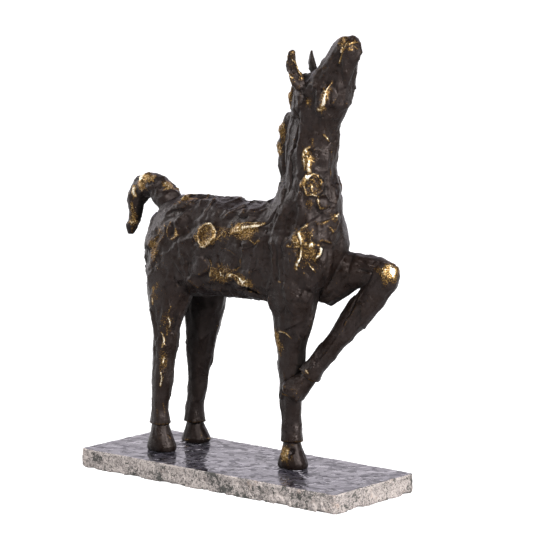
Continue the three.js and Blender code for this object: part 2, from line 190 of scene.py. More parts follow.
@dataclass(frozen=True)
class PhotoCamera:
    """The photograph's camera, in degrees, metres and pixels of its 540 by 540 frame."""

    azimuth: float = 39.83
    elevation: float = 8.89
    distance: float = 3.0
    target: Place = (0.03404, 0.0, 0.22133)
    focal_px: float = 2973.39
    frame_px: float = 540.0
    sensor_mm: float = 36.0
    nearest: float = 0.05
    farthest: float = 60.0

    def axes(self) -> tuple[Vector, Vector, Vector]:
        """The camera's right, up and backward directions.

        Returns:
            Three unit vectors in the frame.
        """
        turn, rise = math.radians(self.azimuth), math.radians(self.elevation)
        back = Vector((math.sin(turn) * math.cos(rise), -math.cos(turn) * math.cos(rise), math.sin(rise)))
        right = Vector((math.cos(turn), math.sin(turn), 0.0))
        return right, back.cross(right), back

    def eye(self) -> Vector:
        """The camera's place, in metres."""
        return Vector(self.target) + self.axes()[2] * self.distance

    def ray(self, pixel: Pixel) -> tuple[Vector, Vector]:
        """The line of sight through a pixel.

        Args:
            pixel: Column and row from the frame's upper left corner.

        Returns:
            Where the line starts and its direction.
        """
        right, up, back = self.axes()
        middle = self.frame_px / 2
        across, down = pixel[0] - middle, pixel[1] - middle
        return self.eye(), (right * across - up * down - back * self.focal_px).normalized()

    def place(self) -> None:
        """Adds the camera to the scene and looks through it."""
        camera = bpy.data.objects.new("photo_camera", bpy.data.cameras.new("photo_camera"))
        camera.data.sensor_width = self.sensor_mm
        camera.data.lens = self.sensor_mm * self.focal_px / self.frame_px
        camera.data.clip_start, camera.data.clip_end = self.nearest, self.farthest
        camera.location = self.eye()
        camera.rotation_mode = "QUATERNION"
        camera.rotation_quaternion = (-self.axes()[2]).to_track_quat("-Z", "Y")
        bpy.context.collection.objects.link(camera)
        bpy.context.scene.camera = camera


def hashed(cells: Array, seed: int) -> Array:
    """A steady random number for each cell of a lattice, by a common integer hash.

    Args:
        cells: Whole numbers, three to a row.
        seed: Picks one of many such fields.

    Returns:
        One number from 0 to 1 for each row.
    """
    keys = cells.astype(np.int64).astype(np.uint64)
    mixed = keys[:, 0] * np.uint64(73856093)
    mixed = mixed ^ keys[:, 1] * np.uint64(19349663) ^ keys[:, 2] * np.uint64(83492791)
    mixed = (mixed + np.uint64(seed * 7919 + 13)) * np.uint64(6364136223846793005)
    mixed ^= mixed >> np.uint64(29)
    mixed *= np.uint64(1442695040888963407)
    return (mixed >> np.uint64(40)).astype(np.float64) / 2**24


def noise(points: Array, size: float, seed: int, layers: int = 1) -> Array:
    """Smooth noise over space.

    Args:
        points: Places in millimetres.
        size: How far apart the broadest lumps are.
        seed: Picks one of many such fields.
        layers: How many times it is laid over itself, each at half the size and half the strength.

    Returns:
        One number from about -1 to 1 for each point.
    """
    seed_step = 31
    total = np.zeros(len(points))
    for layer in range(layers):
        scaled = points / (size / 2**layer)
        low = np.floor(scaled)
        part = scaled - low
        part = part**3 * (part * (part * 6 - 15) + 10)
        lump = np.zeros(len(points))
        for corner in itertools.product((0, 1), repeat=3):
            share = np.prod(np.where(np.array(corner) == 1, part, 1 - part), axis=1)
            lump += share * hashed(low + corner, seed + seed_step * layer)
        total += (2 * lump - 1) / 2**layer
    return total


def eased(start: float, end: float, value: Array) -> Array:
    """A smooth rise from 0 at start to 1 at end."""
    share = np.clip((value - start) / (end - start), 0.0, 1.0)
    return share * share * (3 - 2 * share)


def bell(value: Array, middle: float, width: float) -> Array:
    """A smooth hump that is 1 at its middle and fades within a width or two."""
    return np.exp(-(((value - middle) / width) ** 2))


def stretched(points: Array, forward: Place, times: float) -> Array:
    """Points squeezed along a direction, so that a pattern on them runs some times longer that way."""
    along = np.array(forward) / np.linalg.norm(forward)
    return points - np.outer(points @ along, along) * (1 - 1 / times)


@dataclass(frozen=True)
class Flats:
    """Flats pressed side by side into the wax or split off the stone, that meet at creases.

    `size` is in millimetres, `spread` is how wide a step between two flats is, and the rest is how far
    a flat's middle strays from its cell and how much it is tilted and hollowed, all as shares of the size.
    """

    size: float
    seed: int
    forward: Place = (0.0, 0.0, 1.0)
    times: float = 1.0
    spread: float = 0.26
    stray: float = 0.8
    tilt: float = 1.6
    hollow: float = 0.8

    def height(self, points: Array) -> Array:
        """How high the flats stand.

        Args:
            points: Places in millimetres.

        Returns:
            A height from about -1 to 1 for each point.
        """
        scaled = stretched(points, self.forward, self.times) / self.size
        low = np.floor(scaled)
        beyond = 9.0
        near, after = (np.full(len(points), beyond) for _ in range(2))
        near_height, after_height = (np.zeros(len(points)) for _ in range(2))
        for corner in itertools.product((-1, 0, 1), repeat=3):
            cell = low + corner
            jitter = np.stack([hashed(cell, self.seed + k) for k in range(3)], axis=1)
            away = scaled - (cell + (1 - self.stray) / 2 + self.stray * jitter)
            distance = np.linalg.norm(away, axis=1)
            lean = np.stack([hashed(cell, self.seed + 3 + k) for k in range(3)], axis=1) - 0.5
            rise = hashed(cell, self.seed + 7) - 0.5
            height = rise + self.tilt * np.sum(away * lean, axis=1) + self.hollow * distance**2
            nearer = distance < near
            between = ~nearer & (distance < after)
            after = np.where(nearer, near, np.where(between, distance, after))
            after_height = np.where(nearer, near_height, np.where(between, height, after_height))
            near = np.where(nearer, distance, near)
            near_height = np.where(nearer, height, near_height)
        share = 0.5 + 0.5 * eased(0.0, self.spread, after - near)
        return share * near_height + (1 - share) * after_height


def curved(line: tuple[Pixel, ...], step: float) -> list[Pixel]:
    """Points at even steps on a smooth curve through a line's points.

    Args:
        line: The points that the curve passes.
        step: About how far apart the new points are.

    Returns:
        The points of the curve, ends included.
    """
    ends = [line[0], *line, line[-1]]
    made: list[Pixel] = []
    for a, b, c, d in zip(ends, ends[1:], ends[2:], ends[3:]):
        count = max(1, round(math.dist(b, c) / step))
        for i in range(count):
            t = i / count
            made.append(tuple(
                0.5 * (2 * q + t * (r - p + t * (2 * p - 5 * q + 4 * r - s + t * (3 * q - p - 3 * r + s))))
                for p, q, r, s in zip(a, b, c, d)
            ))
    return [*made, line[-1]]


@dataclass(frozen=True)
class Nearness:
    """How points lie to a line: in millimetres, but for `agree`, how far their skin faces its way."""

    away: Array
    along: Array
    left: Array
    agree: Array
    length: float


@dataclass(frozen=True)
class Hand:
    """How the modeller's marks turn out: lengths in millimetres, the rest as shares of a mark's size."""

    line_step: float = 1.0
    longest_jump: float = 7.0
    fade: Span = (2.0, 0.28)
    stroke_side: Span = (-0.1, 0.35)
    spot_side: Span = (-0.05, 0.4)
    uneven: float = 0.3
    uneven_size: float = 5.0
    patchy: Span = (0.92, 0.35)
    patchy_size: float = 7.0
    lap_slope: float = 2.0
    lap_edge: Span = (-1.0, 0.4)
    lap_gleam: Span = (0.3, 0.6)
    cord_width: Span = (0.9, 0.4)
    cord_width_size: float = 3.6
    cord_fray: float = 0.35
    cord_fray_size: float = 1.9
    cord_bow: float = 1.5
    cord_gleam: Span = (0.62, 0.38)
    cord_glow: Span = (3.4, 0.2)
    crumbs: Span = (2.2, 0.6)
    spot_reach: float = 1.7
    spot_uneven: Span = (0.07, 0.05)
    spot_uneven_sizes: Span = (4.0, 9.0)
    spot_fray: float = 0.35
    spot_fray_size: float = 5.0
    spot_crumbs: Span = (1.15, 0.6)
    rim: Span = (0.93, 0.055)
    face: Span = (1.0, 0.86)
    face_depth: float = 0.75
    face_rub: Span = (1.35, 0.9)
    scribble: float = 0.35
    scribble_size: float = 2.6
    moat: Span = (1.12, 0.1)
    coin_moat: float = 0.35
    coin_rubs: Span = (0.7, 0.52)
    dome_moat: float = 0.45
    dome_rub: Span = (1.02, 0.07)
    pebble_bow: float = 0.5
    hollow_wall: Span = (1.0, 0.35)
    hollow_lip: float = 0.3
    hollow_rub: Span = (1.1, 0.4)
    pit_wall: Span = (1.0, 0.5)
    pit_dark: Span = (1.1, 0.8)
    crust_edge: Span = (1.1, 0.4)
    crust_grain: Span = (0.5, 0.9)
    crust_grain_size: float = 2.2
    crust_rub: Span = (1.35, 0.3)
    polish_edge: Span = (1.0, 0.0)
    polish_rub: Span = (1.25, 0.3)


class WaxSkin:
    """The horse's surface while it is worked: its points in millimetres, and what marks leave on them."""

    def __init__(self, piece: bpy.types.Object, camera: PhotoCamera) -> None:
        """Reads a mesh.

        Args:
            piece: The object whose mesh is worked.
            camera: The camera that marks in pixels are drawn through.
        """
        self.piece = piece
        self.camera = camera
        self.hand = Hand()
        mesh = piece.data
        self.points = np.empty(len(mesh.vertices) * 3)
        mesh.vertices.foreach_get("co", self.points)
        self.points = self.points.reshape(-1, 3) / MM
        edges = np.empty(len(mesh.edges) * 2, dtype=np.int64)
        mesh.edges.foreach_get("vertices", edges)
        self.edges = edges.reshape(-1, 2)
        self.links = np.bincount(self.edges.ravel(), minlength=len(self.points)).astype(float)
        self.height = np.zeros(len(self.points))
        self.rub = np.zeros(len(self.points))
        self.crust = np.zeros(len(self.points))
        self.outward = np.zeros_like(self.points)
        self.tree: BVHTree | None = None

    def own(self) -> Array:
        """The points in the horse's own millimetres, from the slab's top below its middle."""
        return self.points - np.array(HORSE_PLACE)

    def neighbours(self, values: Array) -> Array:
        """The mean of each point's neighbours.

        Args:
            values: One row for each point.

        Returns:
            One row for each point.
        """
        first, second = self.edges[:, 0], self.edges[:, 1]
        count = len(self.points)
        columns = [
            np.bincount(first, column[second], count) + np.bincount(second, column[first], count)
            for column in values.reshape(count, -1).T
        ]
        return (np.stack(columns, axis=1) / self.links[:, None]).reshape(values.shape)

    def spread(self, values: Array, times: int) -> Array:
        """Numbers smoothed by taking their neighbours' mean a few times."""
        for _ in range(times):
            values = self.neighbours(values)
        return values

    def relax(self, times: int, share: Array) -> None:
        """Rounds off the solid's flats without thinning it.

        Args:
            times: How many rounds of shrinking and swelling it gets.
            share: How strongly each point takes part, from 0 to 1.
        """
        shrink, swell = 0.55, -0.57
        for _ in range(times):
            for pull in (shrink, swell):
                self.points += pull * share[:, None] * (self.neighbours(self.points) - self.points)

    def read_directions(self) -> None:
        """Writes the points to the mesh and reads its outward directions back."""
        mesh = self.piece.data
        mesh.vertices.foreach_set("co", (self.points * MM).ravel())
        mesh.update()
        normals = np.empty(len(self.points) * 3)
        mesh.vertex_normals.foreach_get("vector", normals)
        self.outward = normals.reshape(-1, 3)
        bpy.context.view_layer.update()
        self.tree = BVHTree.FromObject(self.piece, bpy.context.evaluated_depsgraph_get())

    def touch(self, place: Pixel, seen: Seen) -> tuple[Array, Array] | None:
        """The point of the skin that is seen at a place.

        Args:
            place: Where it is seen.
            seen: Where it is seen from.

        Returns:
            The point in millimetres and the skin's outward direction there, or None beside the horse.
        """
        far = 1000.0
        if seen is Seen.PHOTO:
            start, toward = self.camera.ray(place)
        else:
            flat = (place[0], place[1], 0) if seen is Seen.ABOVE else (place[0], 0, place[1])
            start = (Vector(flat) + Vector(HORSE_PLACE) + far * Vector(seen.value)) * MM
            toward = -Vector(seen.value)
        point, normal, _, _ = self.tree.ray_cast(start, toward)
        return None if point is None else (np.array(point) / MM, np.array(normal))

    def traced(self, stroke: Stroke, seen: Seen) -> tuple[Array, Array]:
        """A stroke's line laid on the skin.

        Args:
            stroke: The mark.
            seen: Where it is drawn from.

        Returns:
            The points of its longest unbroken run and the skin's outward directions there.
        """
        runs: list[list[tuple[Array, Array]]] = [[]]
        for place in curved(stroke.line, self.hand.line_step):
            found = self.touch(place, seen)
            if found is None:
                continue
            if runs[-1] and np.linalg.norm(found[0] - runs[-1][-1][0]) > self.hand.longest_jump:
                runs.append([])
            runs[-1].append(found)
        run = max(runs, key=len)
        return np.array([p for p, _ in run]), np.array([n for _, n in run])

    def followed(self, chosen: Array, path: Array, facing: Array) -> Nearness:
        """How some points lie to a line on the skin.

        Args:
            chosen: The numbers of the points.
            path: The line's points.
            facing: The skin's outward directions there.

        Returns:
            Their places along and beside the nearest stretch of the line.
        """
        points = self.points[chosen]
        beyond = 1e9
        best = np.full(len(points), beyond)
        along, sideways, agree = (np.zeros(len(points)) for _ in range(3))
        walked = 0.0
        spans = np.diff(path, axis=0)
        lengths = np.maximum(np.linalg.norm(spans, axis=1), TINY)
        for start, span, length, normal in zip(path[:-1], spans, lengths, facing):
            share = np.clip((points - start) @ span / length**2, 0.0, 1.0)
            away = points - start - share[:, None] * span
            distance = np.linalg.norm(away, axis=1)
            nearer = distance < best
            best = np.where(nearer, distance, best)
            along = np.where(nearer, walked + share * length, along)
            sideways = np.where(nearer, away @ np.cross(normal, span / length), sideways)
            agree = np.where(nearer, self.outward[chosen] @ normal, agree)
            walked += length
        return Nearness(best, along, sideways, agree, walked)

    def draw(self, stroke: Stroke, seen: Seen) -> None:
        """Works one stroke into the skin.

        Args:
            stroke: The mark.
            seen: Where it is drawn from.
        """
        hand, wide = self.hand, stroke.wide
        path, facing = self.traced(stroke, seen)
        if len(path) < 2:
            log.info("%s is out of sight", stroke.name)
            return
        widths, strength = stroke.form.value
        reach = widths * wide + 1.0
        inside = np.all((self.points > path.min(0) - reach) & (self.points < path.max(0) + reach), axis=1)
        chosen = np.flatnonzero(inside)
        points = self.points[chosen]
        near = self.followed(chosen, path, facing)
        shortest, share = hand.fade
        fade = min(near.length / 2, max(shortest, share * near.length))
        ends = np.sqrt(np.clip(np.minimum(near.along, near.length - near.along) / fade, 0.0, 1.0))
        ends = np.where(near.away < reach, ends, 0.0) * eased(*hand.stroke_side, near.agree)
        uneven = 1 + hand.uneven * noise(points, hand.uneven_size, len(stroke.name))
        if stroke.form is Form.LAP:
            above = np.exp(-np.clip(near.left, 0, None) / (hand.lap_slope * wide))
            lift = above * eased(hand.lap_edge[0] * wide, hand.lap_edge[1] * wide, near.left)
            bright = bell(near.left, hand.lap_gleam[0], hand.lap_gleam[1] * wide)
        else:
            swell = noise(points, hand.cord_width_size, 7 + len(stroke.line))
            width = wide * (hand.cord_width[0] + hand.cord_width[1] * swell)
            ragged = near.away + hand.cord_fray * wide * noise(points, hand.cord_fray_size, Seed.CORD_FRAY)
            lift = np.clip(1 - (ragged / width) ** 2, 0.0, 1.0) ** hand.cord_bow
            glow = eased(hand.cord_glow[0] * wide, hand.cord_glow[1] * wide, near.away)
            bright = hand.cord_gleam[0] * lift + hand.cord_gleam[1] * glow
        self.height[chosen] += strength * stroke.high * lift * ends * uneven
        patchy = hand.patchy[0] + hand.patchy[1] * noise(points, hand.patchy_size, Seed.PATCHY)
        self.rub[chosen] = np.maximum(self.rub[chosen], stroke.rub * bright * patchy * np.sqrt(ends))
        crumbs = eased(hand.crumbs[0] * wide, hand.crumbs[1] * wide, near.away)
        self.crust[chosen] = np.maximum(self.crust[chosen], stroke.crust * crumbs * ends)

    def press(self, spot: Spot, seen: Seen) -> None:
        """Works one spot into the skin.

        Args:
            spot: The mark.
            seen: Where it is drawn from.
        """
        hand = self.hand
        found = self.touch(spot.middle, seen)
        if found is None:
            log.info("%s is out of sight", spot.name)
            return
        middle, facing = found
        up = np.array([0.0, 0.0, 1.0]) - facing * facing[2]
        up = up / max(np.linalg.norm(up), TINY)
        forward = np.cross(up, facing)
        turn = math.radians(spot.turn)
        across = math.cos(turn) * forward + math.sin(turn) * up
        over = math.cos(turn) * up - math.sin(turn) * forward
        away = self.points - middle
        chosen = np.flatnonzero(np.linalg.norm(away, axis=1) < hand.spot_reach * max(spot.wide, spot.tall))
        away = away[chosen]
        place = self.points[chosen]
        small, large = hand.spot_uneven_sizes
        ragged = 1 + hand.spot_uneven[0] * noise(place, small, len(spot.name))
        ragged += hand.spot_uneven[1] * noise(place, large, Seed.SPOT_EDGE)
        radius = np.hypot(away @ across / spot.wide, away @ over / spot.tall) * ragged
        toward = eased(*hand.spot_side, self.outward[chosen] @ facing)
        frayed = radius * (1 + hand.spot_fray * noise(place, hand.spot_fray_size, 2 + len(spot.name), 2))
        if spot.pat is Pat.PIT:
            self.rub[chosen] *= 1 - eased(*hand.pit_dark, frayed)
        lift, rub = self._pattern(spot, place, radius, frayed)
        self.height[chosen] += lift * toward
        self.rub[chosen] = np.maximum(self.rub[chosen], rub * toward)
        crumbs = spot.crust * eased(*hand.spot_crumbs, radius)
        self.crust[chosen] = np.maximum(self.crust[chosen], crumbs * toward)

    def _pattern(
        self, spot: Spot, place: Array, radius: Array, frayed: Array
    ) -> tuple[Array, Array]:
        """The relief of one spot, and the metal that shows on it.

        Args:
            spot: The mark.
            place: The points in millimetres.
            radius: How far out they lie, 1 being the spot's edge.
            frayed: The same for an edge that frays.

        Returns:
            The height in millimetres and the rub of each point.
        """
        hand = self.hand
        rim = bell(radius, *hand.rim)
        moat = bell(radius, *hand.moat)
        if spot.pat is Pat.COIN:
            within = eased(*hand.face, radius)
            scribble = noise(place, hand.scribble_size, Seed.SCRIBBLE, 2)
            lift = spot.high * (rim - hand.face_depth * within * (radius < hand.rim[0]))
            lift += hand.scribble * within * scribble - hand.coin_moat * spot.high * moat
            on_rim, on_face = hand.coin_rubs
            return lift, spot.rub * np.maximum(on_rim * rim, on_face * eased(*hand.face_rub, radius))
        if spot.pat in (Pat.DOME, Pat.PEBBLE):
            crown = np.sqrt(np.clip(1 - np.minimum(radius, 1.0) ** 2, 0.0, 1.0))
            bow = hand.pebble_bow if spot.pat is Pat.PEBBLE else 1.0
            return spot.high * (crown**bow - hand.dome_moat * moat), spot.rub * bell(radius, *hand.dome_rub)
        if spot.pat is Pat.HOLLOW:
            lift = spot.high * (hand.hollow_lip * moat - eased(*hand.hollow_wall, radius))
            return lift, spot.rub * eased(*hand.hollow_rub, radius)
        if spot.pat is Pat.PIT:
            return -spot.high * eased(*hand.pit_wall, frayed), np.zeros(len(place))
        if spot.pat is Pat.CRUST:
            lumps = noise(place, hand.crust_grain_size, Seed.CRUST_GRAIN, 2)
            lift = spot.high * (hand.crust_grain[0] + hand.crust_grain[1] * lumps)
            return lift * eased(*hand.crust_edge, radius), spot.rub * eased(*hand.crust_rub, frayed)
        return spot.high * eased(*hand.polish_edge, radius), spot.rub * eased(*hand.polish_rub, frayed)

    def ring(self, cuff: Cuff) -> None:
        """Works one cuff into the skin: a lip whose lower edge hangs over the hoof.

        Args:
            cuff: The ring.
        """
        upward = np.array(cuff.upward) / np.linalg.norm(cuff.upward)
        away = self.own() - np.array(cuff.foot)
        rise = away @ upward
        aside = np.linalg.norm(away - np.outer(rise, upward), axis=1)
        rise = rise + cuff.wander * noise(self.points, cuff.wander_size, Seed.CUFF)
        outer, inner = cuff.reach
        belongs = eased(cuff.radius + outer, cuff.radius + inner, aside) * (np.abs(rise) < outer)
        lip = np.exp(-np.clip(rise, 0, None) / cuff.lip_slope) * eased(*cuff.lip_edge, rise)
        under = bell(rise, cuff.groove_place, cuff.groove_width)
        self.height += belongs * (cuff.lip * lip - cuff.groove * under)
        self.rub = np.maximum(self.rub, belongs * cuff.rub * bell(rise, cuff.rub_place, cuff.rub_width))

    def settle(self, inside: tuple[Vector, Vector], margin: float) -> None:
        """Moves the points out by their relief, but not past a box.

        Args:
            inside: The box's lowest and highest corner, in metres.
            margin: How far within it they stay, in millimetres.
        """
        self.points += self.outward * self.height[:, None]
        self.height[:] = 0.0
        low, high = (np.array(corner) / MM for corner in inside)
        self.points = np.clip(self.points, low + margin, high - margin)
        self.read_directions()

    def openness(self, cell: float, rays: int, far: float) -> Array:
        """How freely each part of the skin looks out, past the rest of the horse; the finish paints shade
        where this is low.

        Args:
            cell: The size of the patches that it is worked out for, in millimetres.
            rays: How many lines of sight leave each patch.
            far: How long they are, in millimetres.

        Returns:
            A share from 0 to 1 for each point.
        """
        _, patch = np.unique(np.floor(self.points / cell).astype(int), axis=0, return_inverse=True)
        patch = patch.ravel()
        counts = np.bincount(patch)
        middles, facing = (
            np.stack([np.bincount(patch, values[:, k]) / counts for k in range(3)], axis=1)
            for values in (self.points, self.outward)
        )
        facing /= np.maximum(np.linalg.norm(facing, axis=1), TINY)[:, None]
        turns = np.random.default_rng(int(Seed.OPENNESS)).normal(size=(rays, 3))
        turns /= np.linalg.norm(turns, axis=1)[:, None]
        forward, clearance = 1.05, 0.8 * cell
        seen = np.zeros(len(counts))
        for turn in turns:
            sight = facing * forward + turn
            sight /= np.linalg.norm(sight, axis=1)[:, None]
            starts = (middles + facing * clearance) * MM
            for i, (start, toward) in enumerate(zip(starts.tolist(), sight.tolist())):
                if self.tree.ray_cast(start, toward, far * MM)[0] is None:
                    seen[i] += 1 / rays
        return self.spread(seen[patch], 5)

    def store(self, name: str, values: Array) -> None:
        """Keeps one number for each point as an attribute of the mesh."""
        layer = self.piece.data.attributes.new(name, "FLOAT", "POINT")
        layer.data.foreach_set("value", np.ascontiguousarray(values, dtype=np.float32))


class Value:
    """A number that varies over a surface, as an output socket that takes part in sums."""

    def __init__(self, book: "NodeBook", socket: bpy.types.NodeSocket | None) -> None:
        """Holds the socket and the book that adds its sums."""
        self.book = book
        self.socket = socket

    def output(self, name: str) -> "Value":
        """Another output of the same node."""
        return Value(self.book, self.socket.node.outputs[name])

    def _sum(self, operation: str, first: Any, second: Any) -> "Value":
        """One Math node on two values."""
        return self.book.node("ShaderNodeMath", {"operation": operation}, {0: first, 1: second})

    def __add__(self, other: Any) -> "Value":
        """This value plus another."""
        return self._sum("ADD", self, other)

    def __radd__(self, other: Any) -> "Value":
        """Another value plus this one."""
        return self._sum("ADD", other, self)

    def __sub__(self, other: Any) -> "Value":
        """This value less another."""
        return self._sum("SUBTRACT", self, other)

    def __rsub__(self, other: Any) -> "Value":
        """Another value less this one."""
        return self._sum("SUBTRACT", other, self)

    def __mul__(self, other: Any) -> "Value":
        """This value times another."""
        return self._sum("MULTIPLY", self, other)

    def __pow__(self, other: Any) -> "Value":
        """This value raised to a power."""
        return self._sum("POWER", self, other)

    def eased(self, start: float, end: float) -> "Value":
        """A smooth rise from 0 at start to 1 at end."""
        values = {"Value": self, "From Min": start, "From Max": end}
        return self.book.node("ShaderNodeMapRange", {"interpolation_type": "SMOOTHSTEP"}, values)


class NodeBook:
    """Adds nodes to one tree, of a material or of Geometry Nodes."""

    def __init__(self, tree: bpy.types.NodeTree) -> None:
        """Starts on a tree."""
        self.tree = tree

    def node(self, kind: str, settings: dict[str, Any] | None = None, values: dict | None = None) -> Value:
        """Adds one node.

        Args:
            kind: The node's type.
            settings: Its own properties, set before its sockets.
            values: What goes into its input sockets, by name or number.

        Returns:
            The node's first output that is in use.
        """
        made = self.tree.nodes.new(kind)
        for name, setting in (settings or {}).items():
            if name == "stops":
                self._stops(made.color_ramp, setting)
            else:
                setattr(made, name, setting)
        for key, value in (values or {}).items():
            self.join(value, self._socket(made.inputs, key))
        shown = [socket for socket in made.outputs if socket.enabled]
        return Value(self, shown[0] if shown else None)

    def join(self, value: Any, socket: bpy.types.NodeSocket) -> None:
        """Sets or links one input.

        Args:
            value: A Value, or a plain number, colour or setting.
            socket: The input.
        """
        if isinstance(value, Value):
            self.tree.links.new(value.socket, socket)
        else:
            socket.default_value = value

    def mix(self, share: Any, first: Any, second: Any) -> Value:
        """A colour between two others, which may be Values."""
        first, second = (c if isinstance(c, Value) else (*c, 1.0) for c in (first, second))
        return self.node("ShaderNodeMix", {"data_type": "RGBA"}, {"Factor": share, "A": first, "B": second})

    def grain(self, size_mm: float, place: Value, detail: float = 2.0, rough: float = 0.5) -> Value:
        """Noise from 0 to 1 with lumps of a real size and some finer layers."""
        values = {"Vector": place, "Scale": 1 / (size_mm * MM), "Detail": detail, "Roughness": rough}
        return self.node("ShaderNodeTexNoise", None, values)

    def cells(self, size_mm: float, place: Value) -> Value:
        """How far each place lies from its cell's middle, in uneven cells of a real size."""
        values = {"Vector": place, "Scale": 1 / (size_mm * MM)}
        return self.node("ShaderNodeTexVoronoi", {"feature": "F1"}, values)

    def attribute(self, name: str) -> Value:
        """A number kept on the mesh."""
        return self.node("ShaderNodeAttribute", {"attribute_name": name}).output("Fac")

    def bump(self, strength: float, depth_mm: float, height: Value) -> Value:
        """A normal bent by relief too fine for the mesh."""
        values = {"Strength": strength, "Distance": depth_mm * MM, "Height": height}
        return self.node("ShaderNodeBump", None, values)

    @staticmethod
    def _socket(sockets: Any, key: str | int) -> bpy.types.NodeSocket:
        """Finds one input.

        Args:
            sockets: A node's inputs.
            key: The input's number, or its name.

        Returns:
            The input with that number, or the one in use with that name.
        """
        if isinstance(key, int):
            return sockets[key]
        return next(socket for socket in sockets if socket.name == key and socket.enabled)

    @staticmethod
    def _stops(ramp: bpy.types.ColorRamp, stops: list[tuple[float, Colour]]) -> None:
        """Gives a colour ramp its stops.

        Args:
            ramp: The ramp.
            stops: The place and colour of each, in order.
        """
        while len(ramp.elements) < len(stops):
            ramp.elements.new(0.5)
        for element, (place, colour) in zip(ramp.elements, stops):
            element.position = place
            element.color = (*colour, 1.0)


def new_material(name: str) -> tuple[bpy.types.Material, NodeBook, bpy.types.Node]:
    """An empty material.

    Args:
        name: Its name.

    Returns:
        The material, a book on its tree, and its Principled shader.
    """
    material = bpy.data.materials.new(name)
    material.use_nodes = True
    shader = next(n for n in material.node_tree.nodes if n.type == "BSDF_PRINCIPLED")
    return material, NodeBook(material.node_tree), shader


@dataclass(frozen=True)
class BronzeFinish:
    """Cast bronze under a dark patina, rubbed through on what stands proud, with painted shade where it is
    hidden. Grains are in millimetres.
    """

    # black is the colour of the darkened hollows and of the painted shade.
    black: Colour = (0.0015, 0.0011, 0.001)
    brown: Colour = (0.0075, 0.004, 0.0028)
    grey: Colour = (0.0118, 0.0084, 0.0077)
    shine_tint: Colour = (1.0, 0.84, 0.79)
    umber: Colour = (0.045, 0.024, 0.0085)
    rust: Colour = (0.2, 0.112, 0.032)
    gold: Colour = (0.45, 0.31, 0.13)
    pale: Colour = (0.96, 0.88, 0.72)
    metal_places: tuple[float, ...] = (0.34, 0.58, 0.82, 1.0)
    patina_roughness: float = 0.31
    metal_roughness: float = 0.33
    patina_shine: float = 0.28
    most_metallic: float = 0.97
    fine_grain: float = 1.3
    middling_grain: float = 4.2
    broad_grain: float = 24.0
    crust_cells: float = 1.7
    speck_cells: float = 2.5
    speck_drifts: float = 9.0
    first_rub: Span = (0.03, 0.3)
    worn_through: Span = (0.74, 1.0)
    bare: Span = (0.22, 0.6)
    grey_patches: Span = (0.34, 0.68)
    darker_in_hollows: Span = (0.5, 0.16)
    # Where the painted shade starts and is complete, by openness.
    painted_shade_openness: Span = (0.86, 0.5)
    bump_strength: float = 0.85
    bump_depth: float = 0.4

    def material(self) -> bpy.types.Material:
        """Builds the finish.

        Returns:
            The material, which reads the attributes rub, crust, worn and open; open sets the painted shade.
        """
        material, book, shader = new_material("patinated_bronze")
        place = book.node("ShaderNodeTexCoord").output("Object")
        rub, crust, worn, open_to_sky = (book.attribute(name) for name in ("rub", "crust", "worn", "open"))
        fine = book.grain(self.fine_grain, place, 4.0, 0.72)
        middling = book.grain(self.middling_grain, place, 3.0)
        grit, lumps = fine - 0.5, middling - 0.5
        specks = grit * (1.4 + rub.eased(*self.first_rub) * 1.5 - rub * 1.5)
        specks = specks + self._pinpoints(book, place) * 0.45
        shown = rub + specks + lumps * 0.3 + (worn - 0.5) * 0.16 + worn.eased(*self.worn_through) * 0.22
        bare = shown.eased(*self.bare)
        patches = (book.grain(self.broad_grain, place) + lumps * 0.7).eased(*self.grey_patches)
        tone = book.mix(patches, self.brown, self.grey)
        # Darker towards black in the hollows, by how concave the skin is.
        patina = book.mix((worn + grit * 0.3).eased(*self.darker_in_hollows), tone, self.black)
        # Painted shade: the patina turns black and rougher where openness says the rest of the horse hides
        # the skin.
        painted_shade = (open_to_sky + lumps * 0.2).eased(*self.painted_shade_openness)
        patina = book.mix(painted_shade, patina, self.black)
        stops = list(zip(self.metal_places, (self.umber, self.rust, self.gold, self.pale)))
        metal = book.node("ShaderNodeValToRGB", {"stops": stops}, {0: shown})
        book.join(book.mix(bare, patina, metal), shader.inputs["Base Color"])
        book.join(bare * self.most_metallic, shader.inputs["Metallic"])
        dull = self.patina_roughness + lumps * 0.24 + grit * 0.2 + painted_shade * 0.6
        bright = self.metal_roughness + crust * 0.1 + grit * 0.25
        book.join(dull + bare * (bright - dull), shader.inputs["Roughness"])
        shader.inputs["Specular IOR Level"].default_value = self.patina_shine
        shader.inputs["Specular Tint"].default_value = (*self.shine_tint, 1.0)
        relief = fine * 1.1 + middling * 0.9 + book.cells(self.crust_cells, place) * crust * 1.8
        book.join(book.bump(self.bump_strength, self.bump_depth, relief), shader.inputs["Normal"])
        return material

    def _pinpoints(self, book: NodeBook, place: Value) -> Value:
        """Sparse specks of bare metal.

        Args:
            book: The material's book.
            place: The coordinates that they lie on.

        Returns:
            A value that is 1 on a speck and 0 elsewhere.
        """
        speck, chosen, drift = (0.3, 0.1), (0.62, 0.66), (0.4, 0.6)
        cells = book.cells(self.speck_cells, place)
        drifts = book.grain(self.speck_drifts, place)
        return cells.eased(*speck) * cells.output("Color").eased(*chosen) * drifts.eased(*drift)


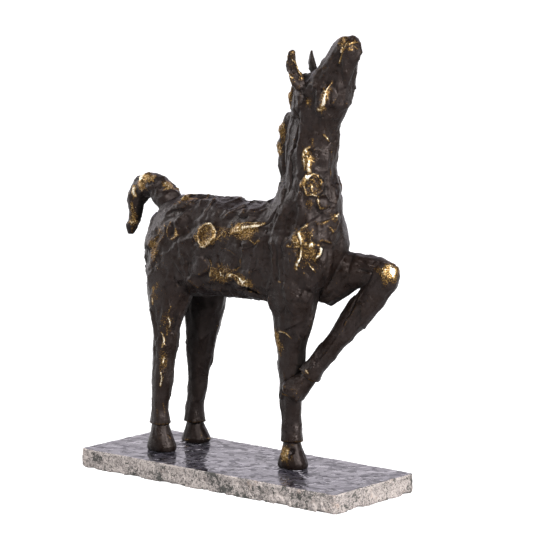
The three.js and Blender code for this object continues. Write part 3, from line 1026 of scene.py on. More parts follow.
@dataclass(frozen=True)
class GraniteFinish:
    """Grey granite, polished dark above and split pale at the sides. Grains are in millimetres."""

    cream: Colour = (0.49, 0.43, 0.4)
    ash: Colour = (0.2, 0.178, 0.17)
    moss: Colour = (0.058, 0.056, 0.05)
    rusty: Colour = (0.36, 0.23, 0.16)
    polished_dark: Colour = (0.006, 0.006, 0.009)
    polished_light: Colour = (0.06, 0.055, 0.07)
    split_roughness: float = 0.82
    polish_gain: float = 0.78
    dull_loss: float = 0.34
    stone_ior: float = 1.58
    fine_grain: float = 1.7
    crumb_grain: float = 2.6
    patch_grain: float = 6.0
    dull_grain: float = 11.0
    warm_grain: float = 14.0
    broad_grain: float = 24.0
    ripple_grain: float = 46.0
    ripple_cells: float = 12.0
    ripple_shift: float = 8.0
    cream_patches: Span = (0.4, 0.52)
    moss_crumbs: Span = (0.57, 0.62)
    rusty_stains: Span = (0.6, 0.8)
    moss_spots: Span = (0.58, 0.66)
    dark_patches: Span = (0.4, 0.62)
    dull_spots: Span = (0.51, 0.56)
    ripple_edge: Span = (0.2, 0.4)
    ripple_areas: Span = (0.42, 0.6)
    bump_strength: float = 0.8
    bump_depth: float = 0.6

    def material(self) -> bpy.types.Material:
        """Builds the finish.

        Returns:
            The material, which reads the attribute polish.
        """
        material, book, shader = new_material("speckled_granite")
        place = book.node("ShaderNodeTexCoord").output("Object")
        polish = book.attribute("polish")
        fine = book.grain(self.fine_grain, place, 4.0, 0.75)
        patches = book.grain(self.patch_grain, place, 3.0, 0.6)
        crumbs = book.grain(self.crumb_grain, place, 3.0, 0.7)
        grit, broad = fine - 0.5, book.grain(self.broad_grain, place) - 0.5
        pale = book.mix((fine + (patches - 0.5) * 0.6).eased(*self.cream_patches), self.ash, self.cream)
        pale = book.mix((crumbs + broad * 0.4).eased(*self.moss_crumbs) * 0.85, pale, self.moss)
        stains = (book.grain(self.warm_grain, place) + grit * 0.4).eased(*self.rusty_stains)
        pale = book.mix(stains * 0.5, pale, self.rusty)
        side = book.mix((patches + broad * 0.6 + grit * 0.95).eased(*self.moss_spots), pale, self.moss)
        dark = (patches + grit * 0.4).eased(*self.dark_patches)
        top = book.mix(dark, self.polished_light, self.polished_dark)
        book.join(book.mix(polish, side, top), shader.inputs["Base Color"])
        dull = (book.grain(self.dull_grain, place, 3.0, 0.6) + grit * 0.15).eased(*self.dull_spots)
        rough = self.split_roughness - polish * (self.polish_gain - dull * self.dull_loss)
        book.join(rough, shader.inputs["Roughness"])
        shader.inputs["IOR"].default_value = self.stone_ior
        split = fine * 1.2 + crumbs * 0.8 + patches * 0.8
        relief = self._ripple(book, place, patches) * polish * 1.25 + split * (1 - polish)
        book.join(book.bump(self.bump_strength, self.bump_depth, relief), shader.inputs["Normal"])
        return material

    def _ripple(self, book: NodeBook, place: Value, patches: Value) -> Value:
        """The polished top's faint unevenness, in cells whose edges waver.

        Args:
            book: The material's book.
            place: The coordinates that it lies on.
            patches: The stone's own patches, which show through the polish.

        Returns:
            A height.
        """
        waver = book.grain(self.patch_grain, place).output("Color")
        shift = {0: waver, "Scale": self.ripple_shift * MM}
        waver = book.node("ShaderNodeVectorMath", {"operation": "SCALE"}, shift)
        moved = book.node("ShaderNodeVectorMath", {"operation": "ADD"}, {0: place, 1: waver})
        edges = book.cells(self.ripple_cells, moved).eased(*self.ripple_edge)
        uneven = book.grain(self.ripple_grain, place, 1.0).eased(*self.ripple_areas)
        return edges * (0.5 + uneven) + patches * 0.8 * uneven


@dataclass(frozen=True)
class FloorFinish:
    """Plain pale paper that gleams white where it is seen from low down."""

    colour: Colour = (0.45, 0.45, 0.455)
    roughness: float = 0.9
    shine: float = 0.1
    gleam: float = 1.05
    gleam_slant: Span = (0.67, 0.755)

    def material(self) -> bpy.types.Material:
        """Builds the finish.

        Returns:
            The paper's material.
        """
        material, book, shader = new_material("pale_paper")
        shader.inputs["Base Color"].default_value = (*self.colour, 1.0)
        shader.inputs["Roughness"].default_value = self.roughness
        shader.inputs["Specular IOR Level"].default_value = self.shine
        slant = book.node("ShaderNodeLayerWeight", None, {"Blend": 0.5}).output("Facing")
        book.join(slant.eased(*self.gleam_slant) * self.gleam, shader.inputs["Emission Color"])
        shader.inputs["Emission Strength"].default_value = 1.0
        return material


# Marks drawn along lines on the side that the photograph shows, in its pixels.
NEAR_STROKES: tuple[Stroke, ...] = (
    Stroke("cheek ridge", ((333.2, 80.8), (329, 85.9), (326.8, 90), (325, 96.4), (323.7, 101.5),
        (322.4, 106.4)), 1, 1, rub=1.15),
    Stroke("cheek ridge pool", ((325, 99), (323.8, 103), (322.2, 107)), 1.3, 0.4, rub=0.95),
    Stroke("cheek crust", ((317.6, 110.8), (321.5, 108.8), (326.6, 106)), 2.4, 0.7, rub=0.85, crust=0.8),
    Stroke("jaw edge", ((335.4, 82.5), (338.2, 89.5), (336.4, 96.8), (331.6, 102.4), (326.9, 107.4)), 1.5,
        0.6, Form.LAP, rub=0.12),
    Stroke("jaw line", ((346.5, 62), (345.9, 74), (345.5, 86), (344, 98), (338, 112)), 2.4, 0.5, Form.LAP),
    Stroke("brow", ((314, 77.5), (317.5, 72.2), (323, 69), (330, 63), (336, 55)), 1.9, 0.6, Form.LAP,
        rub=0.16),
    Stroke("nose bone", ((336.5, 50), (331, 57.5), (326.5, 64), (320, 71.5), (313, 80)), 2.2, 0.55,
        Form.LAP),
    Stroke("cheek hollow", ((329, 73), (327, 80), (322.5, 87), (320.5, 95)), 3, 0.8, Form.GROOVE),
    Stroke("lower lip", ((346.2, 49.5), (348.3, 45.8), (352, 43.8), (356, 43.2), (360.4, 45)), 1.2, 0.75,
        Form.LAP, rub=0.25),
    Stroke("lip gleam", ((352.2, 46.4), (354.8, 47), (357.5, 49.8)), 0.8, 0.3, rub=0.8),
    Stroke("muzzle streak", ((344.2, 48.5), (343, 51), (342.4, 54.6), (340.3, 60), (338.7, 63.9)), 1.1,
        0.75, rub=0.95, crust=0.3),
    Stroke("nostril fork", ((345, 41.2), (346.6, 44.6), (349.8, 42)), 0.9, 0.5, rub=0.45),
    Stroke("nostril fork foot", ((346.6, 44.6), (345.2, 48), (343.9, 50.6)), 0.9, 0.6, rub=0.9),
    Stroke("near ear front rim", ((290.9, 53.5), (292.2, 59.4), (295.3, 63.1), (297.3, 67.4), (298, 70.6),
        (301.3, 75.6)), 0.65, 0.35, rub=0.85),
    Stroke("near ear back rim", ((288.8, 54.4), (286.4, 58.6), (285.6, 62.6), (287.6, 68.4), (288.4, 73.5),
        (291.4, 77.2), (295, 79)), 0.65, 0.35, rub=0.75),
    Stroke("mane foot groove", ((298.2, 90), (297.4, 101), (296.5, 112), (299, 121), (297.2, 134),
        (294.5, 146), (292.4, 158), (291.6, 172), (291, 186), (287, 197)), 2.1, 1, Form.GROOVE),
    Stroke("mane side ridge", ((295.3, 93), (294.6, 104), (292.3, 113), (294, 121), (297, 129),
        (293.7, 141), (292.6, 149), (288.4, 158), (289.4, 166), (289, 188), (285, 196)), 1.5, 0.8),
    Stroke("mane second ridge", ((292.6, 118), (289.7, 128), (289.4, 139), (286, 150), (284, 160),
        (283.4, 173), (282, 186), (277, 196)), 1.4, 0.6),
    Stroke("mane dark groove", ((288, 92), (290.6, 101), (291.6, 109)), 1.3, 0.7, Form.GROOVE),
    Stroke("upper tuft gold", ((290.4, 93.5), (289.3, 97), (288.9, 103), (289.6, 109)), 1.1, 0.45, rub=0.66,
        crust=0.5),
    Stroke("middle tuft gold", ((283.8, 124.8), (281.6, 128), (280.8, 134), (281.6, 139)), 1.2, 0.5,
        rub=0.72, crust=0.6),
    Stroke("lower tuft gold", ((280.4, 142), (278.3, 147), (279, 151.5), (281.8, 154)), 1.2, 0.5, rub=0.7,
        crust=0.6),
    Stroke("neck side plane", ((301.5, 104), (304, 118), (302.5, 132), (299, 146), (298, 160), (297, 180)),
        3, 0.7, Form.LAP),
    Stroke("throat twig", ((322.4, 133.2), (326.4, 137.6), (330, 142.3)), 0.9, 0.7, rub=0.66),
    Stroke("throat twig end", ((330, 142.3), (332.6, 143.6), (335.4, 145.2)), 0.9, 0.5, rub=0.25),
    Stroke("throat ridge", ((330.6, 142), (331.4, 156), (331, 170), (330.7, 177)), 1.2, 0.7, rub=0.14),
    Stroke("throat ridge gleam", ((329.6, 168), (330.7, 173), (330.9, 178)), 1.3, 0.5, rub=0.52),
    Stroke("throat upper plane", ((325.6, 108), (325.2, 120), (325.8, 132)), 2, 0.6, Form.LAP),
    Stroke("neck streak hook", ((311.9, 137.4), (313, 141.6), (311.6, 145.2)), 1, 0.6, rub=0.66),
    Stroke("neck streak bend", ((311.6, 145.6), (308.4, 148), (305.4, 149.8), (304.2, 153)), 1.2, 0.75,
        rub=0.85, crust=0.3),
    Stroke("neck streak left", ((304.5, 149.6), (304.1, 153.4), (304.4, 157.4), (305.2, 162), (305, 166),
        (305.6, 170.6)), 1.1, 0.8, rub=0.92, crust=0.25),
    Stroke("neck streak right", ((309.4, 157), (309.9, 161), (309.1, 165), (309.3, 169.4), (309.9, 172.4)),
        1.6, 0.85, rub=0.96, crust=0.2),
    Stroke("neck streak branch", ((313.2, 158.6), (312, 162), (311.4, 165.4), (310.6, 168.4)), 1, 0.6,
        rub=0.8, crust=0.3),
    Stroke("neck disc upper rim", ((305.4, 182), (307.2, 179), (309.8, 176.2), (313, 174.4),
        (316.6, 174.6)), 1.35, 1, rub=1),
    Stroke("neck disc right rim", ((316.6, 174.6), (319.8, 176.4), (321.8, 180), (321.4, 183.4),
        (319.6, 184.6)), 1, 0.8, rub=0.72, crust=0.4),
    Stroke("neck disc left rim", ((305.2, 181.6), (304.4, 186), (305.2, 191), (307.2, 196)), 1, 0.7,
        rub=0.78),
    Stroke("neck disc foot", ((307.2, 196), (309.6, 195.2), (312.6, 195), (315.6, 195.6), (318.8, 195.9)),
        1, 0.8, rub=0.9),
    Stroke("neck disc swirl", ((309.2, 183.6), (311.6, 185.4), (311.4, 189), (312.6, 192)), 1, 0.6,
        rub=0.8),
    Stroke("neck disc curl", ((309, 181), (312.4, 179.6), (314.4, 182), (316, 184.4)), 0.9, 0.5, rub=0.66,
        crust=0.5),
    Stroke("pebble upright", ((318.6, 196), (317.9, 200), (318.6, 204.6), (320.6, 208.6), (324, 208.2)),
        0.95, 0.7, rub=0.8),
    Stroke("collar lap", ((339, 190), (332, 205), (324, 213), (312, 222), (300, 230), (291, 239)), 3.2, 1.1,
        Form.LAP),
    Stroke("chest fold upper", ((337.4, 212), (334, 216.2), (329.6, 219.4), (324, 222.6), (316, 224)), 2.5,
        1.3, Form.LAP, rub=0.4),
    Stroke("chest fold gleam", ((332.6, 217), (335.4, 214.8), (337, 212.9)), 1.1, 0.5, rub=0.85),
    Stroke("chest fold lower", ((326, 226), (329, 229), (332, 231.8), (335, 228), (338, 221)), 2.3, 1.2,
        Form.LAP, rub=0.3),
    Stroke("chest fold tip", ((328.6, 228.2), (331.2, 230.9)), 1.3, 0.4, rub=0.72, crust=0.4),
    Stroke("chest shelf", ((316.2, 243), (318.8, 241.2), (322, 240.8), (327, 242.4), (332, 243.8)), 2.1,
        1.2, Form.LAP, rub=0.3),
    Stroke("chest loop", ((318, 242.6), (321.6, 243.4), (323, 247), (320.8, 250)), 1.2, 0.7, rub=0.2),
    Stroke("shoulder crust stem", ((308.4, 222.6), (305.6, 227), (302, 230.4), (299.8, 234)), 1.3, 0.6,
        rub=0.45, crust=0.9),
    Stroke("shoulder crust trunk", ((300.4, 231), (300, 236), (301.4, 240), (300.6, 245.6)), 2, 0.9,
        rub=0.95, crust=1),
    Stroke("shoulder crust arm", ((288.4, 244.6), (292, 245.6), (296.4, 246.6), (300.6, 245.8)), 1.5, 0.7,
        rub=0.85, crust=0.9),
    Stroke("shoulder left ridge", ((301.6, 247), (301.2, 251.6), (300.4, 257), (298.6, 261.4), (296.9, 266),
        (296.4, 270.6)), 1.35, 1, rub=1),
    Stroke("shoulder left ridge foot", ((299.4, 258.6), (297.8, 263), (296.8, 267)), 1.9, 0.5, rub=0.95),
    Stroke("shoulder right ridge", ((316, 244.4), (319.6, 246.6), (321, 250.6), (318.9, 255),
        (316.2, 258.4), (313.4, 262.2)), 1.15, 0.95, rub=0.86),
    Stroke("shoulder hook", ((308.2, 260.4), (309, 264), (310.8, 267.4), (313.4, 270), (315.8, 273)), 1,
        0.75, rub=0.74),
    Stroke("shoulder long plane", ((280, 236), (279.4, 248), (279, 262), (280.6, 274), (281.6, 286)), 3.4,
        0.9, Form.LAP),
    Stroke("shoulder second plane", ((290, 248), (291, 262), (289, 276), (285.6, 288), (289.6, 302)), 3,
        0.8, Form.LAP),
    Stroke("shoulder third plane", ((309, 276), (305.4, 288), (301.6, 296), (307, 302), (311, 292)), 2.6,
        0.6, Form.LAP),
    Stroke("elbow crease", ((320, 259), (325.5, 272), (325.5, 286), (318, 300), (313.6, 308)), 2.6, 1,
        Form.LAP),
    Stroke("neck to back crease", ((278.9, 205.4), (277.6, 211), (274, 217.4), (268.4, 223.4),
        (264.6, 226)), 2, 1.1, Form.GROOVE),
    Stroke("neck to back lap", ((281, 204), (280.6, 214), (277, 224), (274, 232)), 2.6, 1, Form.LAP),
    Stroke("bar ridge", ((242.4, 228.2), (247, 227), (252.6, 226.2), (259.6, 225.3), (265.8, 223.2)), 1.5,
        0.9, rub=0.98),
    Stroke("bar upper edge", ((235.4, 222.6), (239.6, 224.2), (246, 224.2), (252, 223.8), (258, 223.4)),
        1.1, 0.6, Form.LAP, rub=0.66),
    Stroke("bar strand", ((232, 220.4), (231.6, 225), (234.4, 230.6), (233, 236)), 0.9, 0.5, rub=0.45,
        crust=0.5),
    Stroke("bar lower edge", ((240.8, 238.2), (246.4, 239.2), (251.2, 239.7), (255.2, 243.4),
        (257.6, 244.6)), 1, 0.7, rub=0.6),
    Stroke("bar cream specks", ((255.8, 244.8), (258.6, 241.8), (262, 238.6)), 1.2, 0.5, rub=0.66,
        crust=0.7),
    Stroke("coin cream streak", ((216.8, 240.8), (219.6, 237.6), (222.2, 235.4), (225.4, 232.6)), 1.5, 0.7,
        rub=0.78, crust=0.3),
    Stroke("dish edge", ((219.6, 249.2), (224, 249), (230.6, 251), (235.8, 255.2), (239.8, 258.6)), 1, 0.7,
        Form.LAP, rub=0.34),
    Stroke("dish right edge", ((242.6, 257), (241, 260), (241.2, 264), (241.9, 266.8)), 1, 0.6, rub=0.66),
    Stroke("upright plane edge", ((243.8, 240.5), (244.2, 247), (243.6, 253), (242.4, 258)), 1.2, 0.7,
        Form.LAP),
    Stroke("web strand left", ((208.6, 258.6), (211.6, 263), (212.6, 268), (212.2, 272), (210.8, 276.4)),
        1.1, 0.8, rub=0.72),
    Stroke("web strand middle", ((218.2, 262.4), (219.4, 266), (220.6, 270.4), (223, 273.8), (226.4, 277.4),
        (228, 281.8)), 1.25, 0.9, rub=0.86),
    Stroke("web strand thin", ((222.4, 262.6), (223.4, 267), (225.6, 272), (228, 275)), 0.85, 0.5, rub=0.6),
    Stroke("web strand slant", ((241.8, 266.4), (237.6, 268.8), (233.8, 271), (229.8, 274.4), (227.6, 276)),
        1, 0.7, rub=0.74),
    Stroke("web bright ridge", ((228, 276.2), (232, 275.2), (235.6, 274.8), (239.4, 278), (243, 280.6),
        (247.6, 281.5), (252.4, 281.9)), 1.5, 1.1, rub=1),
    Stroke("web arc under", ((232, 275.6), (236.4, 276.8), (240, 280.6), (243.4, 284.6)), 1.2, 0.5,
        Form.GROOVE),
    Stroke("left dome edge", ((199.4, 256.4), (204, 256.2), (208, 259.4), (210, 265), (209.2, 271.6),
        (206, 277)), 1.3, 0.9, Form.GROOVE),
    Stroke("crater rim", ((173.4, 219.6), (171, 224.6), (168.8, 229.6), (168.2, 235), (169.8, 239.6)), 1,
        0.7, rub=0.6),
    Stroke("crater foot", ((169.8, 239.6), (172.6, 238.8), (175.8, 236.8), (177.6, 233.4)), 1.3, 0.6,
        rub=0.72, crust=0.6),
    Stroke("crater right wall", ((175.4, 222), (175.8, 228), (176.4, 233)), 1.3, 0.5, Form.LAP),
    Stroke("croup fold gold", ((180.4, 204.6), (184.2, 200.6), (188.6, 197.6), (194, 195.8), (200, 195.4)),
        1.4, 0.9, Form.LAP, rub=0.74),
    Stroke("croup crease", ((166, 216), (172.4, 211), (179, 209), (186, 207), (192, 204.2), (197, 202),
        (203.6, 200.6)), 1.5, 1, Form.LAP),
    Stroke("loin strand", ((200.4, 208), (202, 205), (203.8, 202.4), (206.6, 198.6), (209, 195.8)), 1.2,
        0.7, Form.LAP, rub=0.5),
    Stroke("loin crease", ((204.6, 215), (207.8, 210.6), (211.4, 207.2), (214.2, 204), (216.6, 200)), 1.4,
        0.9, Form.LAP, rub=0.2),
    Stroke("back crease", ((228, 214.6), (233, 212), (238.6, 208.8), (244, 206), (250, 203.6), (260, 203.6),
        (272, 205.4)), 1.7, 1, Form.LAP),
    Stroke("back ridge crest", ((217.6, 201), (222, 199.6), (227, 198.8), (236, 199.2), (247, 199.9),
        (256, 200.8)), 1.3, 0.5, rub=0.4),
    Stroke("back second crease", ((236, 222), (244, 217.4), (252, 214.8), (262, 212), (272, 206.8)), 1.8,
        0.7, Form.LAP),
    Stroke("flank long crease", ((178, 232), (180, 242), (181, 254), (184, 266), (190, 277), (199, 284.4)),
        2.8, 0.4, Form.LAP),
    Stroke("stifle fold", ((176, 262), (181, 270), (187, 279), (190, 290), (186, 300)), 2.6, 0.8, Form.LAP),
    Stroke("belly fold", ((186, 276.4), (191, 279.4), (199.4, 284.8), (210, 287.6), (221.6, 289.4),
        (236, 290.4)), 1.7, 1, Form.LAP, rub=0.1),
    Stroke("belly leaf upper", ((240, 281.8), (249, 284.2), (257, 288.8), (265.4, 296)), 1.1, 0.9,
        rub=0.14),
    Stroke("belly leaf hollow", ((244, 286.6), (252, 290), (260, 295)), 2, 1.2, Form.GROOVE),
    Stroke("belly strand", ((234, 287.6), (240, 289.2), (247, 290.6), (254, 292.4)), 1, 0.6, rub=0.3),
    Stroke("leaf upper edge", ((237, 288.4), (241, 285.4), (246.2, 283.6), (252, 285.8), (257.6, 289.6),
        (263.4, 294.8)), 1.3, 0.8, Form.LAP),
    Stroke("rump hollow edge", ((161, 222.6), (166.2, 226), (166, 233), (162, 240), (156, 246)), 1.5, 0.6,
        Form.LAP, rub=0.26),
    Stroke("rump edge specks", ((157.4, 243.6), (157.6, 249), (157, 258), (157.2, 271)), 1, 0.3, rub=0.44,
        crust=0.9),
    Stroke("thigh edge gold", ((154.6, 280), (153.9, 288), (153.2, 297), (153, 305)), 1.3, 0.6, rub=1),
    Stroke("thigh back edge", ((152.6, 246), (151.8, 258), (152.6, 270)), 1.3, 0.4, rub=0.4, crust=0.4),
    Stroke("thigh plane", ((160, 290), (163.6, 300), (163, 312), (160, 324)), 2.6, 0.7, Form.LAP),
    Stroke("leg streak top", ((171.4, 304.8), (170, 308.4), (168.4, 312), (167.5, 316)), 1.1, 0.5, rub=0.5,
        crust=0.4),
    Stroke("leg S bend", ((167.5, 315.6), (169.6, 319.4), (170.2, 323.4), (168.8, 326.8), (166.2, 328.4)),
        1.05, 0.85, rub=1.15),
    Stroke("leg S tail", ((166.2, 328.4), (167.2, 332), (166.8, 336.4)), 1, 0.5, rub=0.5),
    Stroke("leg second arc", ((161, 332), (163, 336), (164.1, 340.4), (163.4, 344.4), (162, 347.6)), 1, 0.8,
        rub=1.05),
    Stroke("leg patch", ((164.4, 356), (163.8, 360), (162.2, 364.6)), 1.6, 0.5, rub=0.85, crust=0.6),
    Stroke("leg long line", ((160.4, 367.6), (161.2, 372), (161.9, 377.6), (161.4, 382), (160.4, 387)), 1,
        0.8, rub=0.95),
    Stroke("leg front plane", ((178, 306), (177, 322), (174.6, 338), (173.6, 356), (172.6, 378),
        (170, 400)), 2.6, 0.6, Form.LAP),
    Stroke("fetlock streak one", ((157.6, 407), (157.4, 413), (157.6, 417.6)), 0.9, 0.3, rub=0.34),
    Stroke("fetlock streak two", ((162.6, 402), (164, 409), (165.2, 416.6)), 0.9, 0.3, rub=0.4),
    Stroke("near hoof streak", ((166, 434), (168.8, 436.6), (171, 440)), 1, 0.3, rub=0.4),
    Stroke("near hoof fold", ((156, 425), (157.4, 434), (160, 444)), 1.6, 0.5, Form.LAP, rub=0.12),
    Stroke("far hoof gold heel", ((184, 438.8), (187, 439.4), (190, 439.3)), 0.9, 0.3, rub=0.66),
    Stroke("far hoof gold toe", ((206.4, 438.8), (209, 438.5), (211.4, 437.6)), 0.9, 0.3, rub=0.6),
    Stroke("far hind shin", ((213.5, 352), (208.6, 362), (206, 374), (205, 390)), 1.8, 0.5, Form.LAP),
    Stroke("far hind hollow", ((188, 316), (187.4, 336), (188, 360), (188.4, 388)), 2.4, 0.5, Form.GROOVE),
    Stroke("arm crease", ((357, 268.6), (363, 270.4), (368.6, 271.4), (371.6, 273), (370.4, 278),
        (367.6, 284)), 1.5, 1.1, Form.GROOVE),
    Stroke("arm upper fold", ((352, 259), (358, 262), (366, 264.4), (374, 267)), 1.6, 0.6, Form.LAP),
    Stroke("shank tendon groove", ((361, 291), (357, 297.4), (354.2, 303.4), (350.6, 311), (346.8, 318.6),
        (343.2, 325.8)), 1.4, 1, Form.GROOVE),
    Stroke("shank tendon ridge", ((364, 289), (359.4, 298), (355.4, 308), (350, 317), (343.6, 327)), 1.5,
        0.75, rub=0.16),
    Stroke("shank outer plane", ((383.6, 289), (377, 300), (370.4, 310), (362, 320), (352, 334),
        (342, 348)), 2.4, 0.7, Form.LAP),
    Stroke("shank inner plane", ((342, 331), (334, 342), (326, 353), (318, 363), (309, 371)), 1.8, 0.7,
        Form.LAP),
    Stroke("cuff gleam", ((305.8, 369.8), (307.2, 371.8), (309, 374)), 0.95, 0.5, rub=0.85),
    Stroke("lifted hoof edge", ((282.6, 390.4), (285.4, 386), (289.6, 381.6), (294.6, 377.4)), 1, 0.5,
        Form.LAP, rub=0.12),
    Stroke("lifted hoof gold one", ((290, 388.6), (294, 389.6), (299, 392)), 0.8, 0.3, rub=0.42),
    Stroke("lifted hoof gold two", ((282.4, 393.4), (285.4, 394.6), (288, 396.2)), 0.8, 0.3, rub=0.42),
    Stroke("knee lower edge", ((391.6, 281.6), (394.4, 282.6), (396.6, 280.4)), 1.2, 0.4, rub=0.6),
    Stroke("knee crown edge", ((389.6, 263.4), (393.6, 264.6), (396.8, 268)), 1.2, 0.4, rub=0.6),
    Stroke("standing leg crescent", ((278, 331.4), (281.8, 331.8), (284.8, 333.2), (288, 335.4),
        (291.4, 338.6)), 0.85, 0.6, rub=1),
    Stroke("standing leg edge gold", ((275.4, 331.6), (276.6, 337), (278.6, 343), (279.8, 349.6),
        (281.4, 358)), 1.4, 0.4, rub=0.7, crust=0.7),
    Stroke("standing leg oval", ((281.4, 312), (286, 309.6), (291.4, 311.4), (294, 316), (292.4, 321)), 1.2,
        0.4, Form.LAP),
    Stroke("standing leg cross fold", ((283.4, 330.6), (290, 327), (297, 323.4), (304, 321)), 1.4, 0.5,
        Form.LAP),
    Stroke("standing leg front plane", ((307.6, 318), (305.4, 332), (303, 346), (302, 360)), 2, 0.6,
        Form.LAP),
)
# The same for the left side, which doesn't show, in millimetres of length and height.
FAR_STROKES: tuple[Stroke, ...] = (
    Stroke("far cheek ridge", ((114, 398), (109, 387), (106, 374)), 1.5, 1, rub=0.8),
    Stroke("far jaw edge", ((121, 396), (124, 386), (118, 372), (108, 364)), 1.6, 0.6, Form.LAP),
    Stroke("far brow", ((88, 402), (98, 410), (110, 418)), 1.8, 0.6, Form.LAP),
    Stroke("far lip", ((126, 432), (131, 437), (137, 432)), 1.1, 0.7, Form.LAP, rub=0.3),
    Stroke("far mane groove", ((76, 386), (70, 366), (70, 350), (66, 330), (64, 308), (60, 288), (52, 276)),
        2.1, 1, Form.GROOVE),
    Stroke("far mane ridge", ((66, 380), (63, 352), (58, 330), (56, 306), (54, 286)), 1.5, 0.7),
    Stroke("far neck plane", ((96, 352), (93, 330), (92, 306), (88, 284)), 3, 0.8, Form.LAP),
    Stroke("far neck streak", ((86, 332), (84, 320), (86, 306)), 1.2, 0.7, rub=0.6),
    Stroke("far shoulder lap", ((98, 262), (84, 250), (72, 232), (66, 214)), 2.6, 0.9, Form.LAP),
    Stroke("far arm fold", ((88, 222), (104, 218), (124, 215), (144, 216)), 2, 0.7, Form.LAP),
    Stroke("far saddle crease one", ((-70, 262), (-54, 250), (-44, 236)), 1.8, 0.9, Form.LAP),
    Stroke("far saddle crease two", ((-36, 262), (-18, 252), (-4, 240)), 1.7, 0.8, Form.LAP, rub=0.3),
    Stroke("far saddle crease three", ((6, 263), (24, 254), (40, 247), (54, 245)), 1.7, 0.8, Form.LAP,
        rub=0.5),
    Stroke("far web ridge", ((-24, 193), (-8, 196), (8, 194), (22, 197)), 1.5, 0.9, rub=0.8),
    Stroke("far web strand", ((-16, 214), (-10, 204), (-6, 196)), 1.1, 0.7, rub=0.6),
    Stroke("far belly fold", ((-60, 184), (-36, 178), (-8, 176), (22, 180)), 1.8, 0.9, Form.LAP),
    Stroke("far thigh plane", ((-96, 232), (-104, 206), (-100, 178), (-96, 150)), 2.8, 0.8, Form.LAP),
    Stroke("far stifle fold", ((-62, 214), (-58, 196), (-66, 174), (-74, 152)), 2.6, 0.8, Form.LAP),
    Stroke("far leg streak", ((-92, 136), (-93, 122), (-92, 108)), 1, 0.6, rub=0.5),
    Stroke("far shank plane", ((156, 196), (144, 178), (130, 160), (112, 136)), 2.2, 0.6, Form.LAP),
)
# The same for the back, in millimetres of length and width.
BACK_STROKES: tuple[Stroke, ...] = (
    Stroke("spine crest", ((-84, 0), (-50, 2), (-14, -2), (18, 1)), 2.2, 0.5, rub=0.2),
    Stroke("spine step one", ((-66, -16), (-58, 0), (-54, 15)), 1.6, 0.7, Form.LAP),
    Stroke("spine step two", ((-22, -15), (-12, 0), (-10, 16)), 1.6, 0.7, Form.LAP, rub=0.2),
)
